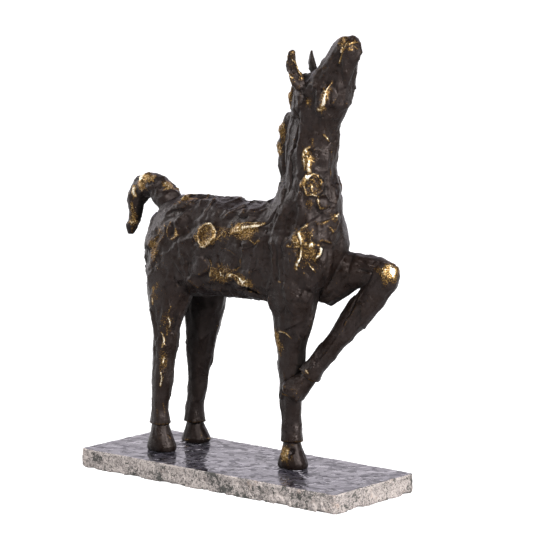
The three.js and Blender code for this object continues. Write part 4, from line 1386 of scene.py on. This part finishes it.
# Round marks on the side that the photograph shows, in its pixels.
NEAR_SPOTS: tuple[Spot, ...] = (
    Spot("flank coin", (206.6, 234.6), 11.8, 11, 1.2, Pat.COIN, rub=0.86, crust=0.5),
    Spot("flank coin cream side", (215, 236.4), 2, 7.4, 0.2, Pat.POLISH, rub=0.95),
    Spot("bar crust", (245, 232), 21, 9, 0.8, rub=0.52, crust=1, turn=4),
    Spot("bar knot", (238, 229.4), 8.6, 8.4, 0.7, rub=0.7, crust=1),
    Spot("round dish", (228.6, 260.2), 11.2, 10.4, 0.7, Pat.DOME, rub=0.1),
    Spot("left dome", (198.4, 268), 12.4, 11.6, 0.6, Pat.DOME),
    Spot("web crust", (219, 275), 13, 10, 0.5, rub=0.48, crust=1),
    Spot("web gold haze", (227, 271.6), 14, 11, 0.3, rub=0.38, crust=0.6),
    Spot("web foot haze", (243, 279), 14, 7, 0.2, rub=0.5, crust=0.6, turn=-18),
    Spot("crater", (172.8, 230), 5, 8.4, 1.1, Pat.HOLLOW),
    Spot("crater specks", (176.2, 233.4), 3.2, 4.6, 0.4, rub=0.5, crust=0.9),
    Spot("rump edge crust", (154.4, 250.4), 8, 15, 0.3, rub=0.46, crust=0.9),
    Spot("rump side warmth", (160.6, 234), 9, 13, 0, rub=0.3, crust=0.4),
    Spot("neck streak haze", (307.6, 161), 7.4, 15, 0.1, rub=0.52, crust=0.5),
    Spot("neck disc warmth", (312.4, 185), 11, 13, 0.1, rub=0.28, crust=0.5),
    Spot("croup fold haze", (190.6, 199), 15, 5.6, 0.1, rub=0.56, crust=0.5, turn=16),
    Spot("coin side haze", (205, 236), 13, 12, 0, Pat.POLISH, rub=0.34),
    Spot("coin border haze", (222, 233), 10, 8, 0.1, rub=0.44, crust=0.5),
    Spot("cheek warmth", (325.2, 97), 5.4, 15, 0, rub=0.4, crust=0.2, turn=-18),
    Spot("muzzle warmth", (345.6, 41), 8, 9, 0, rub=0.3, crust=0.3),
    Spot("chest fold haze", (333, 217), 7, 6, 0.1, rub=0.36, crust=0.5),
    Spot("shoulder wide haze", (303.6, 248), 16, 21, 0.1, rub=0.36, crust=0.6),
    Spot("rump hollow", (160.4, 232), 7.4, 9.8, 0.9, Pat.HOLLOW, rub=0.18),
    Spot("croup cream", (182.6, 198.4), 3.4, 2.8, 0.2, Pat.POLISH, rub=0.66),
    Spot("hip plane", (160.8, 214), 9, 10, 0.5, Pat.DOME),
    Spot("neck disc", (313, 184.6), 9.2, 10.6, 0.9, Pat.COIN, rub=0.52, crust=0.8),
    Spot("neck disc hollow", (318.8, 188.6), 5, 4, 0.9, Pat.HOLLOW),
    Spot("neck streak blob", (309.8, 170.4), 2.9, 3.8, 0.7, Pat.POLISH, rub=1),
    Spot("neck streak flare", (306.2, 151), 2.4, 2.9, 0.5, Pat.POLISH, rub=0.8),
    Spot("neck dark dent", (321.6, 165.4), 6.6, 5.6, 0.9, Pat.HOLLOW),
    Spot("neck pebble", (323.6, 201.4), 6.6, 6.2, 1, Pat.PEBBLE, rub=0.5),
    Spot("neck lower haze", (310, 203.4), 6, 6, 0.2, rub=0.3, crust=0.4),
    Spot("shoulder medallion", (309.4, 253.4), 10, 11, 0.4, rub=0.46, crust=0.6),
    Spot("shoulder blob", (310.8, 245.2), 3.5, 3.4, 0.9, Pat.POLISH, rub=1, crust=0.3),
    Spot("shoulder small blob", (306, 244.6), 2.2, 2, 0.5, Pat.POLISH, rub=0.85, crust=0.5),
    Spot("shoulder crust", (299.4, 240), 7, 9, 0.4, rub=0.5, crust=0.8, turn=-12),
    Spot("shoulder lower haze", (305.6, 262.6), 5, 4, 0.3, rub=0.36, crust=0.7),
    Spot("shoulder dent", (287.6, 254), 6.6, 17, 0.6, Pat.DOME),
    Spot("shoulder lower plane", (290.4, 290), 8.6, 12, 0.5, Pat.DOME),
    Spot("chest plane", (322.4, 255.4), 6.6, 9.6, 0.5, Pat.DOME),
    Spot("shoulder rust speck", (279.4, 281.8), 2.6, 1.8, 0.3, rub=0.48, crust=0.7),
    Spot("chest tip rust", (331.4, 233.6), 2.4, 1.8, 0.2, rub=0.4, crust=0.7),
    Spot("temple rust", (308.4, 101.2), 5, 7, 0.1, rub=0.36, crust=0.3),
    Spot("cheek plate", (331.6, 96.6), 5.4, 9, 0.6, Pat.DOME),
    Spot("brow gleam", (315.4, 76), 2.2, 1.6, 0.3, Pat.POLISH, rub=0.4),
    Spot("forehead bloom", (325.4, 68.6), 4.4, 3, 0.1, Pat.POLISH, rub=0.24),
    Spot("muzzle top gold", (344.4, 37.4), 4.6, 6.8, 0.1, Pat.POLISH, rub=0.38, turn=-35),
    Spot("muzzle side gold", (344.2, 42.2), 3.4, 4.6, 0.1, rub=0.42, crust=0.3),
    Spot("mouth gold", (351.4, 48.6), 4, 2.6, 0.1, rub=0.36, crust=0.3, turn=-12),
    Spot("streak crust", (343.6, 51.4), 2.4, 4, 0.3, rub=0.6, crust=0.6),
    Spot("near ear grain", (291.4, 67), 8, 15, 0.15, rub=0.2, crust=0.3, turn=18),
    Spot("near ear tip", (290.4, 54.6), 2.4, 2.2, 0.1, rub=0.2, crust=0.3),
    Spot("ear foot specks", (300.4, 79.6), 3.6, 2.4, 0.1, rub=0.36, crust=0.5),
    Spot("upper tuft", (290.6, 96.6), 4, 10, 0.3, rub=0.46, crust=0.6),
    Spot("middle tuft", (283.2, 131.6), 5, 11, 0.5, rub=0.52, crust=0.9),
    Spot("lower tuft", (280.4, 148.6), 4.6, 8, 0.5, rub=0.52, crust=0.9),
    Spot("tail top gleam", (142.2, 178.6), 3.4, 5, 0.3, Pat.POLISH, rub=1.15),
    Spot("tail back gleam", (133, 191.4), 3.4, 8, 0.3, Pat.POLISH, rub=1.15),
    Spot("tail crown gleam", (154.4, 177), 3.4, 2.6, 0.3, Pat.POLISH, rub=0.74),
    Spot("tail crown haze", (148, 178.8), 11, 6, 0.1, rub=0.62, crust=0.3),
    Spot("tail inner gold", (141.4, 186), 9, 8, 0.1, rub=0.56, crust=0.3, turn=-30),
    Spot("tail root crust", (169, 186), 7, 8, 0.7, rub=0.75, crust=1),
    Spot("tail root dent", (151.4, 190), 2.4, 4, 0.4, Pat.HOLLOW, rub=0.12),
    Spot("tail tip warm", (134.4, 220), 5, 14, 0.1, rub=0.48, crust=0.3),
    Spot("tail back specks", (132.4, 206.4), 1.8, 8, 0.3, rub=0.6, crust=0.7),
    Spot("knee polish", (392.4, 271.4), 4.2, 9, 0.3, Pat.POLISH, rub=1.05),
    Spot("knee haze", (388.4, 271.4), 10, 12, 0.2, rub=0.56, crust=0.5),
    Spot("knee side crust", (383.6, 274.8), 4, 6.4, 0.4, rub=0.55, crust=0.9),
    Spot("calf lump", (349.6, 302.4), 3.4, 5.4, 0.5, Pat.DOME),
    Spot("hock haze", (166.4, 322), 8.6, 15, 0.1, rub=0.26, crust=0.6),
    Spot("cannon haze", (163.4, 360), 6, 18, 0.1, rub=0.34, crust=0.6),
    Spot("standing leg haze", (278, 340), 6, 17, 0.1, rub=0.58, crust=0.8, turn=-6),
    Spot("fore hoof gold", (284.8, 454.6), 10, 11, 0.3, rub=0.66, crust=0.6),
    Spot("fore hoof pit", (291.6, 452.2), 3.2, 3.6, 2.2, Pat.PIT),
    Spot("fore hoof lower pit", (289.2, 456.4), 2, 2.4, 1.4, Pat.PIT),
    Spot("near hoof bloom", (159.8, 436.6), 4, 8, 0.2, Pat.POLISH, rub=0.16),
    Spot("far shin bloom", (221.6, 304.4), 4, 3.4, 0.1, Pat.POLISH, rub=0.14),
)
# The same for the left side, in millimetres of length and height.
FAR_SPOTS: tuple[Spot, ...] = (
    Spot("far flank coin", (-4, 234), 11.6, 11.6, 1.1, Pat.COIN, rub=0.7, crust=0.7),
    Spot("far bar crust", (40, 246), 15, 6.4, 0.7, rub=0.46, crust=1),
    Spot("far flank dome", (-46, 208), 14, 11, 0.6, Pat.DOME),
    Spot("far web crust", (-6, 190), 9, 6, 0.5, rub=0.4, crust=1),
    Spot("far rump hollow", (-98, 226), 7, 10, 0.9, Pat.HOLLOW, rub=0.2),
    Spot("far neck pebble", (92, 290), 7.4, 8.4, 0.9, Pat.PEBBLE, rub=0.5),
    Spot("far shoulder crust", (88, 240), 6, 8, 0.6, rub=0.6, crust=1),
    Spot("far shoulder plane", (74, 206), 12, 14, 0.6, Pat.DOME),
    Spot("far cheek plate", (112, 380), 8, 11, 0.6, Pat.DOME),
    Spot("far temple rust", (88, 386), 4, 5, 0.3, rub=0.4, crust=0.4),
    Spot("far muzzle gold", (126, 434), 4, 4, 0.1, rub=0.5, crust=0.3),
    Spot("far tail gleam", (-150, 268), 4, 5, 0.3, Pat.POLISH, rub=0.8),
    Spot("far tail root", (-108, 268), 5, 5, 0.5, rub=0.5, crust=1),
    Spot("far knee polish", (168, 208), 5, 7, 0.2, Pat.POLISH, rub=0.7),
    Spot("far hock haze", (-94, 128), 7, 14, 0.1, rub=0.3, crust=0.6),
    Spot("far hoof bloom", (-98, 12), 6, 6, 0.2, rub=0.3, crust=0.4),
)
STROKES = {Seen.PHOTO: NEAR_STROKES, Seen.LEFT: FAR_STROKES, Seen.ABOVE: BACK_STROKES}
SPOTS = {Seen.PHOTO: NEAR_SPOTS, Seen.LEFT: FAR_SPOTS}
CUFFS: tuple[Cuff, ...] = (
    Cuff("near hind cuff", (-100.3, -27.0, 29.6), (0.0, 0.0, 1.0)),
    Cuff("far hind cuff", (-101.0, 28.0, 22.6), (0.0, 0.0, 1.0)),
    Cuff("standing fore cuff", (58.0, -4.5, 28.6), (0.0, 0.0, 1.0)),
    Cuff("lifted fore cuff", (85.9, -9.3, 99.6), (0.46, 0.21, 0.78)),
)
CRISP_PARTS: tuple[CrispPart, ...] = (
    CrispPart("near hind hoof", (-99.0, -27.0, 18.0), 24.0),
    CrispPart("far hind hoof", (-99.0, 28.0, 14.0), 22.0),
    CrispPart("standing fore hoof", (59.0, -4.5, 18.0), 22.0),
    CrispPart("lifted fore hoof", (80.0, -12.0, 92.0), 22.0),
    CrispPart("left ear", (69.0, 15.0, 409.0), 18.0),
    CrispPart("right ear", (69.0, -15.0, 409.0), 18.0),
)


@dataclass
class CastHorse:
    """The horse, one casting from hoof to ear. Sizes and places are in the horse's own millimetres."""

    camera: PhotoCamera
    finish: BronzeFinish = field(default_factory=BronzeFinish)
    node: str = "cast_horse"
    voxel: float = 0.9
    most_triangles: int = 192000
    relax_rounds: int = 34
    crisp_share: float = 0.14
    crisp_edge: Span = (0.75, 1.1)
    upright_flats: Flats = Flats(14.0, 3, (0.12, 0.0, 1.0), 2.3)
    slanting_flats: Flats = Flats(15.5, 19, (0.75, 0.25, 0.55), 1.9)
    small_flats: Flats = Flats(7.5, 57)
    limb_flats: Flats = Flats(7.5, 61, (0.1, 0.0, 1.0), 2.6)
    flat_depth: float = 3.1
    small_depth: float = 0.75
    dent_depth: float = 0.9
    dent_size: float = 17.0
    limb_calm: float = 0.42
    hoof_calm: float = 0.75
    hoof_top: Span = (34, 22)
    leg_top: Span = (178, 150)
    lifted_leg_front: Span = (78, 98)
    lifted_leg_top: Span = (285, 262)
    barrel_bottom: Span = (150, 185)
    barrel_top: Span = (300, 262)
    barrel_front: Span = (66, 30)
    wrinkle_depth: float = 0.16
    wrinkle_size: float = 3.0
    crust_depth: float = 0.3
    crust_size: float = 1.9
    bead_room: float = 0.6
    # How openness is worked out: it sets where the finish paints shade.
    open_cell: float = 4.0
    open_rays: int = 24
    open_reach: float = 200.0
    grains_per_cm2: float = 45.0
    grain_size: float = 0.55
    flattest_bead: Place = (0.35, 0.35, 0.25)
    fullest_bead: Place = (1.0, 1.0, 0.6)

    def build(self) -> tuple[bpy.types.Object, bpy.types.Object]:
        """Makes the casting and the grains on its crusts.

        Returns:
            The casting and the grains.
        """
        piece = self._copy()
        skin = WaxSkin(piece, self.camera)
        skin.relax(self.relax_rounds, self._softness(skin))
        skin.read_directions()
        self._work_flats(skin)
        self._work_marks(skin)
        skin.settle(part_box(self.node), self.bead_room)
        self._store(skin)
        self._thin(piece)
        piece.data.materials.clear()
        piece.data.materials.append(self.finish.material())
        piece.data.polygons.foreach_set("use_smooth", np.ones(len(piece.data.polygons), dtype=bool))
        grains = self._grains(piece)
        for made in (piece, grains):
            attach(made, "root")
        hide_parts(self.node)
        return piece, grains

    def _copy(self) -> bpy.types.Object:
        """A fine, even mesh of the solid.

        Returns:
            The new object, at the origin.
        """
        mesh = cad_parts[self.node].data.copy()
        mesh.name = "horse_casting"
        piece = bpy.data.objects.new("horse_casting", mesh)
        bpy.context.collection.objects.link(piece)
        work = bmesh.new()
        work.from_mesh(mesh)
        bmesh.ops.remove_doubles(work, verts=work.verts, dist=TINY)
        work.to_mesh(mesh)
        work.free()
        remesh = piece.modifiers.new("even_mesh", "REMESH")
        remesh.mode = "VOXEL"
        remesh.voxel_size = self.voxel * MM
        baked(piece)
        return piece

    def _softness(self, skin: WaxSkin) -> Array:
        """How much of the rounding each point takes: less at hooves, cuffs and ears.

        Args:
            skin: The surface.

        Returns:
            A share from 0 to 1 for each point.
        """
        share = np.ones(len(skin.points))
        inner, outer = self.crisp_edge
        for part in CRISP_PARTS:
            away = np.linalg.norm(skin.own() - np.array(part.middle), axis=1)
            beyond = eased(inner * part.radius, outer * part.radius, away)
            share = np.minimum(share, self.crisp_share + (1 - self.crisp_share) * beyond)
        return share

    def _work_flats(self, skin: WaxSkin) -> None:
        """Beats flats and thumb dents into the wax, upright on neck and legs and slanting on the barrel.

        Args:
            skin: The surface.
        """
        own = skin.own()
        x, z = own[:, 0], own[:, 2]
        barrel = eased(*self.barrel_bottom, z) * eased(*self.barrel_top, z) * eased(*self.barrel_front, x)
        lifted = eased(*self.lifted_leg_front, x) * eased(*self.lifted_leg_top, z)
        limb = np.maximum(eased(*self.leg_top, z), lifted)
        flats = (1 - barrel) * self.upright_flats.height(own) + barrel * self.slanting_flats.height(own)
        small = (1 - limb) * self.small_flats.height(own) + limb * self.limb_flats.height(own)
        depth = (1 - self.hoof_calm * eased(*self.hoof_top, z)) * (1 - self.limb_calm * limb)
        skin.height += depth * (self.flat_depth * flats + self.small_depth * small)
        skin.height += depth * self.dent_depth * noise(own, self.dent_size, Seed.DENTS)

    def _work_marks(self, skin: WaxSkin) -> None:
        """Lays strokes, spots and cuffs on the wax, then its wrinkles and the lumps of its crusts.

        Args:
            skin: The surface.
        """
        for seen, strokes in STROKES.items():
            for stroke in strokes:
                skin.draw(stroke, seen)
        for seen, spots in SPOTS.items():
            for spot in spots:
                skin.press(spot, seen)
        for cuff in CUFFS:
            skin.ring(cuff)
        own = skin.own()
        skin.height += self.wrinkle_depth * noise(own, self.wrinkle_size, Seed.WRINKLES, 2)
        skin.height += self.crust_depth * skin.crust * noise(own, self.crust_size, Seed.CRUST, 2)

    def _store(self, skin: WaxSkin) -> None:
        """Keeps rub, crust, wear and openness as attributes, once the relief is in; openness sets the
        painted shade.

        Args:
            skin: The surface.
        """
        fine = np.sum((skin.points - skin.neighbours(skin.points)) * skin.outward, axis=1)
        broad = skin.spread(fine, 6)
        worn = 0.5 + np.clip(0.13 * fine / fine.std(), -0.3, 0.4)
        worn += np.clip(0.1 * broad / broad.std(), -0.25, 0.25)
        for name, values in (("rub", skin.rub), ("crust", skin.crust), ("worn", worn)):
            skin.store(name, np.clip(values, 0.0, 1.0))
        skin.store("open", skin.openness(self.open_cell, self.open_rays, self.open_reach))

    def _thin(self, piece: bpy.types.Object) -> None:
        """Takes triangles out where the surface is plain.

        Args:
            piece: The casting.
        """
        count = sum(len(p.vertices) - 2 for p in piece.data.polygons)
        if count > self.most_triangles:
            thin = piece.modifiers.new("thin", "DECIMATE")
            thin.ratio = self.most_triangles / count
            thin.use_collapse_triangulate = True
            baked(piece)
        log.info("casting thinned from %d to %d triangles", count, len(piece.data.polygons))

    def _grains(self, casting: bpy.types.Object) -> bpy.types.Object:
        """Scatters the beads of spilt metal that stand on the crusts.

        Args:
            casting: The finished casting, whose crust attribute says where they stand.

        Returns:
            The grains as one mesh.
        """
        grains = bpy.data.objects.new("casting_grains", bpy.data.meshes.new("casting_grains"))
        bpy.context.collection.objects.link(grains)
        maker = grains.modifiers.new("grains", "NODES")
        maker.node_group = self._grains_tree()
        chosen = {
            "Casting": casting,
            "Grain Size": self.grain_size * MM,
            "Grains": self.grains_per_cm2 / CM**2,
            "Metal": casting.data.materials[0],
        }
        for item in maker.node_group.interface.items_tree:
            if item.in_out == "INPUT":
                maker[item.identifier] = chosen[item.name]
        baked(grains)
        log.info("%d faces of grains", len(grains.data.polygons))
        return grains

    def _grains_tree(self) -> bpy.types.NodeTree:
        """The Geometry Nodes that strew the beads.

        Returns:
            The tree, with the inputs Casting, Grain Size, Grains and Metal.
        """
        tree = bpy.data.node_groups.new("casting_grains", "GeometryNodeTree")
        inputs = {"Casting": "Object", "Grain Size": "Float", "Grains": "Float", "Metal": "Material"}
        for name, kind in inputs.items():
            tree.interface.new_socket(name, in_out="INPUT", socket_type=f"NodeSocket{kind}")
        tree.interface.new_socket("Geometry", in_out="OUTPUT", socket_type="NodeSocketGeometry")
        book = NodeBook(tree)
        outputs = tree.nodes.new("NodeGroupInput").outputs
        casting, size, count, metal = (Value(book, outputs[name]) for name in inputs)
        source = book.node("GeometryNodeObjectInfo", {}, {"Object": casting}).output("Geometry")
        crust, rub = (
            book.node("GeometryNodeInputNamedAttribute", {"data_type": "FLOAT"}, {"Name": name})
            for name in ("crust", "rub")
        )
        scatter = book.node("GeometryNodeDistributePointsOnFaces", {}, {
            "Mesh": source, "Density": crust**2.0 * rub * count, "Seed": int(Seed.BEADS),
        })
        bead = book.node("GeometryNodeMeshIcoSphere", {}, {"Radius": size, "Subdivisions": 1})
        bead = book.node("GeometryNodeSetShadeSmooth", {}, {0: bead})
        keep = {"data_type": "FLOAT", "domain": "POINT"}
        # The beads are stored as fully open, so they get no painted shade.
        for name, level in (("rub", 0.7), ("crust", 0.4), ("worn", 0.6), ("open", 1.0)):
            bead = book.node(
                "GeometryNodeStoreNamedAttribute", keep, {"Geometry": bead, "Name": name, "Value": level}
            )
        scale = book.node("FunctionNodeRandomValue", {"data_type": "FLOAT_VECTOR"}, {
            "Min": self.flattest_bead, "Max": self.fullest_bead, "Seed": int(Seed.BEAD_SHAPES),
        })
        beads = book.node("GeometryNodeInstanceOnPoints", {}, {
            "Points": scatter, "Instance": bead, "Rotation": scatter.output("Rotation"), "Scale": scale,
        })
        real = book.node("GeometryNodeRealizeInstances", {}, {"Geometry": beads})
        dressed = book.node("GeometryNodeSetMaterial", {}, {"Geometry": real, "Material": metal})
        book.node("NodeGroupOutput", {}, {"Geometry": dressed})
        return tree


def baked(piece: bpy.types.Object) -> None:
    """Turns an object's modifiers into its plain mesh.

    Args:
        piece: The object.
    """
    bpy.context.view_layer.update()
    graph = bpy.context.evaluated_depsgraph_get()
    shaped = piece.evaluated_get(graph)
    mesh = bpy.data.meshes.new_from_object(shaped, preserve_all_data_layers=True, depsgraph=graph)
    piece.modifiers.clear()
    old = piece.data
    piece.data = mesh
    mesh.name = piece.name
    bpy.data.meshes.remove(old)


@dataclass
class GraniteSlab:
    """The slab, polished above and split rough round its edges. Sizes are in millimetres."""

    finish: GraniteFinish = field(default_factory=GraniteFinish)
    node: str = "granite_slab"
    half: tuple[float, float] = (170.0, 65.0)
    step: float = 1.1
    rows: int = 18
    same_level: float = 0.05
    split: Flats = Flats(8.0, 83)
    split_depth: float = 1.7
    most_split: float = 1.4
    edge_share: float = 0.45
    pit_depth: float = 1.3
    pit_size: float = 3.4
    lower_chips: float = 3.6
    lower_chip_size: float = 13.0
    lower_chip_least: float = 0.1
    upper_chips: float = 1.1
    upper_chip_size: float = 6.0
    arris: float = 0.6
    lower_lip: float = 5.0
    upper_lip: float = 0.7
    inner_rings: tuple[float, ...] = (0.7, 0.55, 0.3)

    def build(self) -> bpy.types.Object:
        """Makes the slab.

        Returns:
            The slab.
        """
        corners, faces = self._faces(self._rings())
        mesh = bpy.data.meshes.new("split_slab")
        mesh.from_pydata([tuple(corner * MM) for corner in corners], [], faces)
        piece = bpy.data.objects.new("split_slab", mesh)
        bpy.context.collection.objects.link(piece)
        highest = corners[:, 2].max()
        heights = [corners[list(face), 2] for face in faces]
        sawn = [face.min() == highest or face.max() == 0 for face in heights]
        polish = np.array(sawn, dtype=np.float32)
        mesh.attributes.new("polish", "FLOAT", "FACE").data.foreach_set("value", polish)
        mesh.polygons.foreach_set("use_smooth", polish < 0.5)
        mesh.materials.append(self.finish.material())
        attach(piece, "root")
        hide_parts(self.node)
        return piece

    def _outlines(self) -> tuple[list[float], list[Array]]:
        """The solid's outline at each of its levels, as evenly spaced points with x and y.

        Returns:
            The levels from the underside up, and for each an outline with the same number of points.
        """
        places = np.array([tuple(v.co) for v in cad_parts[self.node].data.vertices]) / MM
        levels = sorted(set(np.round(places[:, 2], 2)))
        around = round(4 * sum(self.half) / self.step)
        outlines = []
        for level in levels:
            there = np.abs(places[:, 2] - level) < self.same_level
            flat = np.unique(np.round(places[there][:, :2], 3), axis=0)
            flat = flat[np.linalg.norm(flat, axis=1) > self.half[1] / 2]
            flat = flat[np.argsort(np.arctan2(flat[:, 1], flat[:, 0]))]
            closed = np.vstack([flat, flat[:1]])
            walked = np.concatenate([[0], np.cumsum(np.linalg.norm(np.diff(closed, axis=0), axis=1))])
            marks = np.linspace(0, walked[-1], around, endpoint=False)
            outlines.append(np.stack([np.interp(marks, walked, closed[:, k]) for k in range(2)], axis=1))
        return levels, outlines

    def _rings(self) -> list[Array]:
        """The rings of the slab, the split faces worked rough.

        Returns:
            Rings of points: those within the underside, those of the sides, and those on the polished top.
        """
        levels, outlines = self._outlines()
        low, high = levels[0], levels[-1]
        lowest = self._ring(outlines[0], low)
        chips = noise(lowest, self.lower_chip_size, Seed.FOOT_CHIPS, 3) - self.lower_chip_least
        foot = low + self.lower_chips * np.clip(chips, 0, 1)
        chips = noise(lowest, self.upper_chip_size, Seed.BROW_CHIPS, 3)
        brow = high - self.upper_chips * np.clip(chips, 0, 1)
        stack, index = np.array(outlines), np.arange(len(lowest))
        rings = [self._ring(outlines[0], low, self.lower_lip)]
        for row in range(self.rows + 1):
            height = foot + (brow - foot) * row / self.rows
            above = np.clip(np.searchsorted(levels, height), 1, len(levels) - 1)
            upper, under = np.array(levels)[above], np.array(levels)[above - 1]
            share = ((height - under) / (upper - under))[:, None]
            ring = self._ring(stack[above - 1, index] * (1 - share) + stack[above, index] * share, height)
            split = np.clip(0.5 + 0.5 * self.split.height(ring), 0, self.most_split)
            pits = np.clip(noise(ring, self.pit_size, Seed.STONE_PITS, 3), 0, 1)
            belly = self.edge_share + (1 - self.edge_share) * (1 - (2 * row / self.rows - 1) ** 2)
            back = self.split_depth * split * belly + self.pit_depth * pits
            if row in (0, self.rows):
                back += self.arris
            ring[:, :2] *= 1 - back[:, None] / np.array(self.half)
            rings.append(ring)
        rings.append(self._ring(rings[-1][:, :2], high, self.upper_lip))
        for share in self.inner_rings:
            rings.insert(0, rings[0] * (share, share, 1.0))
            rings.append(rings[-1] * (share, share, 1.0))
        return rings

    def _ring(self, outline: Array, height: float | Array, inset: float = 0.0) -> Array:
        """An outline set at a height, drawn in by an inset."""
        flat = outline * (1 - inset / np.array(self.half))
        return np.column_stack([flat, np.broadcast_to(height, len(flat))])

    @staticmethod
    def _faces(rings: list[Array]) -> tuple[Array, list[tuple[int, ...]]]:
        """Joins the rings into a closed mesh.

        Args:
            rings: Rings of points from the underside up.

        Returns:
            The corners and the faces.
        """
        around = len(rings[0])
        top = (len(rings) - 1) * around
        count = len(rings) * around
        corners = [*rings, rings[0][:1] * (0, 0, 1), rings[-1][:1] * (0, 0, 1)]
        faces: list[tuple[int, ...]] = []
        for i in range(around):
            after = (i + 1) % around
            faces.append((after, i, count))
            faces.append((top + i, top + after, count + 1))
            for row in range(0, top, around):
                faces.append((row + i, row + after, row + around + after, row + around + i))
        return np.vstack(corners), faces


@dataclass(frozen=True)
class SoftLight:
    """One large soft lamp: where it hangs and how big it is, in metres, and its power in watts."""

    name: str
    place: Place
    size: tuple[float, float]
    power: float

    def hang(self, toward: Vector) -> None:
        """Adds the lamp.

        Args:
            toward: What it shines at.
        """
        lamp = bpy.data.lights.new(self.name, "AREA")
        lamp.shape = "RECTANGLE"
        lamp.size, lamp.size_y = self.size
        lamp.energy = self.power
        holder = bpy.data.objects.new(self.name, lamp)
        holder.location = self.place
        holder.rotation_mode = "QUATERNION"
        holder.rotation_quaternion = (toward - Vector(self.place)).to_track_quat("-Z", "Y")
        bpy.context.collection.objects.link(holder)


@dataclass
class Studio:
    """The pale floor, the lamps, and a surround that is white beyond the horse.

    The surround fades to dim at the sides and behind the camera, with a little light overhead. The
    floor's reach and the lamps' aim are in metres.
    """

    camera: PhotoCamera
    finish: FloorFinish = field(default_factory=FloorFinish)
    white: float = 1.12
    dim: float = 0.035
    overhead: float = 0.12
    dimming: Span = (-0.85, -0.15)
    overhead_rise: Span = (0.5, 0.95)
    tint: Colour = (0.99, 0.93, 1.02)
    floor_reach: float = 40.0
    aim: Place = (0.0, 0.0, 0.2)
    lamps: tuple[SoftLight, ...] = (
        SoftLight("left_softbox", (-2.0, -0.35, 1.05), (0.5, 1.3), 19.0),
        SoftLight("right_softbox", (1.95, -0.55, 1.15), (0.5, 1.1), 70.0),
        SoftLight("high_softbox", (0.35, -1.55, 1.75), (0.4, 0.4), 25.0),
    )

    def build(self) -> None:
        """Makes the floor, the surround and the lamps."""
        reach = self.floor_reach
        mesh = bpy.data.meshes.new("paper_floor")
        corners = [(-reach, -reach, 0), (reach, -reach, 0), (reach, reach, 0), (-reach, reach, 0)]
        mesh.from_pydata(corners, [], [(0, 1, 2, 3)])
        mesh.materials.append(self.finish.material())
        floor = bpy.data.objects.new("paper_floor", mesh)
        bpy.context.collection.objects.link(floor)
        self._surround()
        for lamp in self.lamps:
            lamp.hang(Vector(self.aim))
        bpy.context.scene.view_settings.view_transform = "Standard"

    def _surround(self) -> None:
        """Lights the surround from the far side."""
        world = bpy.data.worlds.new("white_surround")
        world.use_nodes = True
        background = next(n for n in world.node_tree.nodes if n.type == "BACKGROUND")
        book = NodeBook(world.node_tree)
        direction = book.node("ShaderNodeTexCoord").output("Generated")
        ways, dot = (tuple(self.camera.axes()[2]), (0.0, 0.0, 1.0)), {"operation": "DOT_PRODUCT"}
        toward_camera, upward = (
            book.node("ShaderNodeVectorMath", dot, {0: direction, 1: way}).output("Value") for way in ways
        )
        around = self.white + toward_camera.eased(*self.dimming) * (self.dim - self.white)
        background.inputs["Color"].default_value = (*self.tint, 1.0)
        strength = around + upward.eased(*self.overhead_rise) * self.overhead
        book.join(strength, background.inputs["Strength"])
        bpy.context.scene.world = world


def main() -> None:
    """Builds the camera, the studio and the two parts of the sculpture, and logs each piece."""
    logging.basicConfig(level=logging.INFO, format="%(relativeCreated)d ms: %(message)s")
    camera = PhotoCamera()
    camera.place()
    Studio(camera).build()
    casting, grains = CastHorse(camera).build()
    slab = GraniteSlab().build()
    bpy.context.view_layer.update()
    for piece in (casting, grains, slab):
        size = [round(length / MM, 1) for length in piece.dimensions]
        log.info("%s: %d faces, %s mm", piece.name, len(piece.data.polygons), size)


if __name__ == "__main__":
    main()
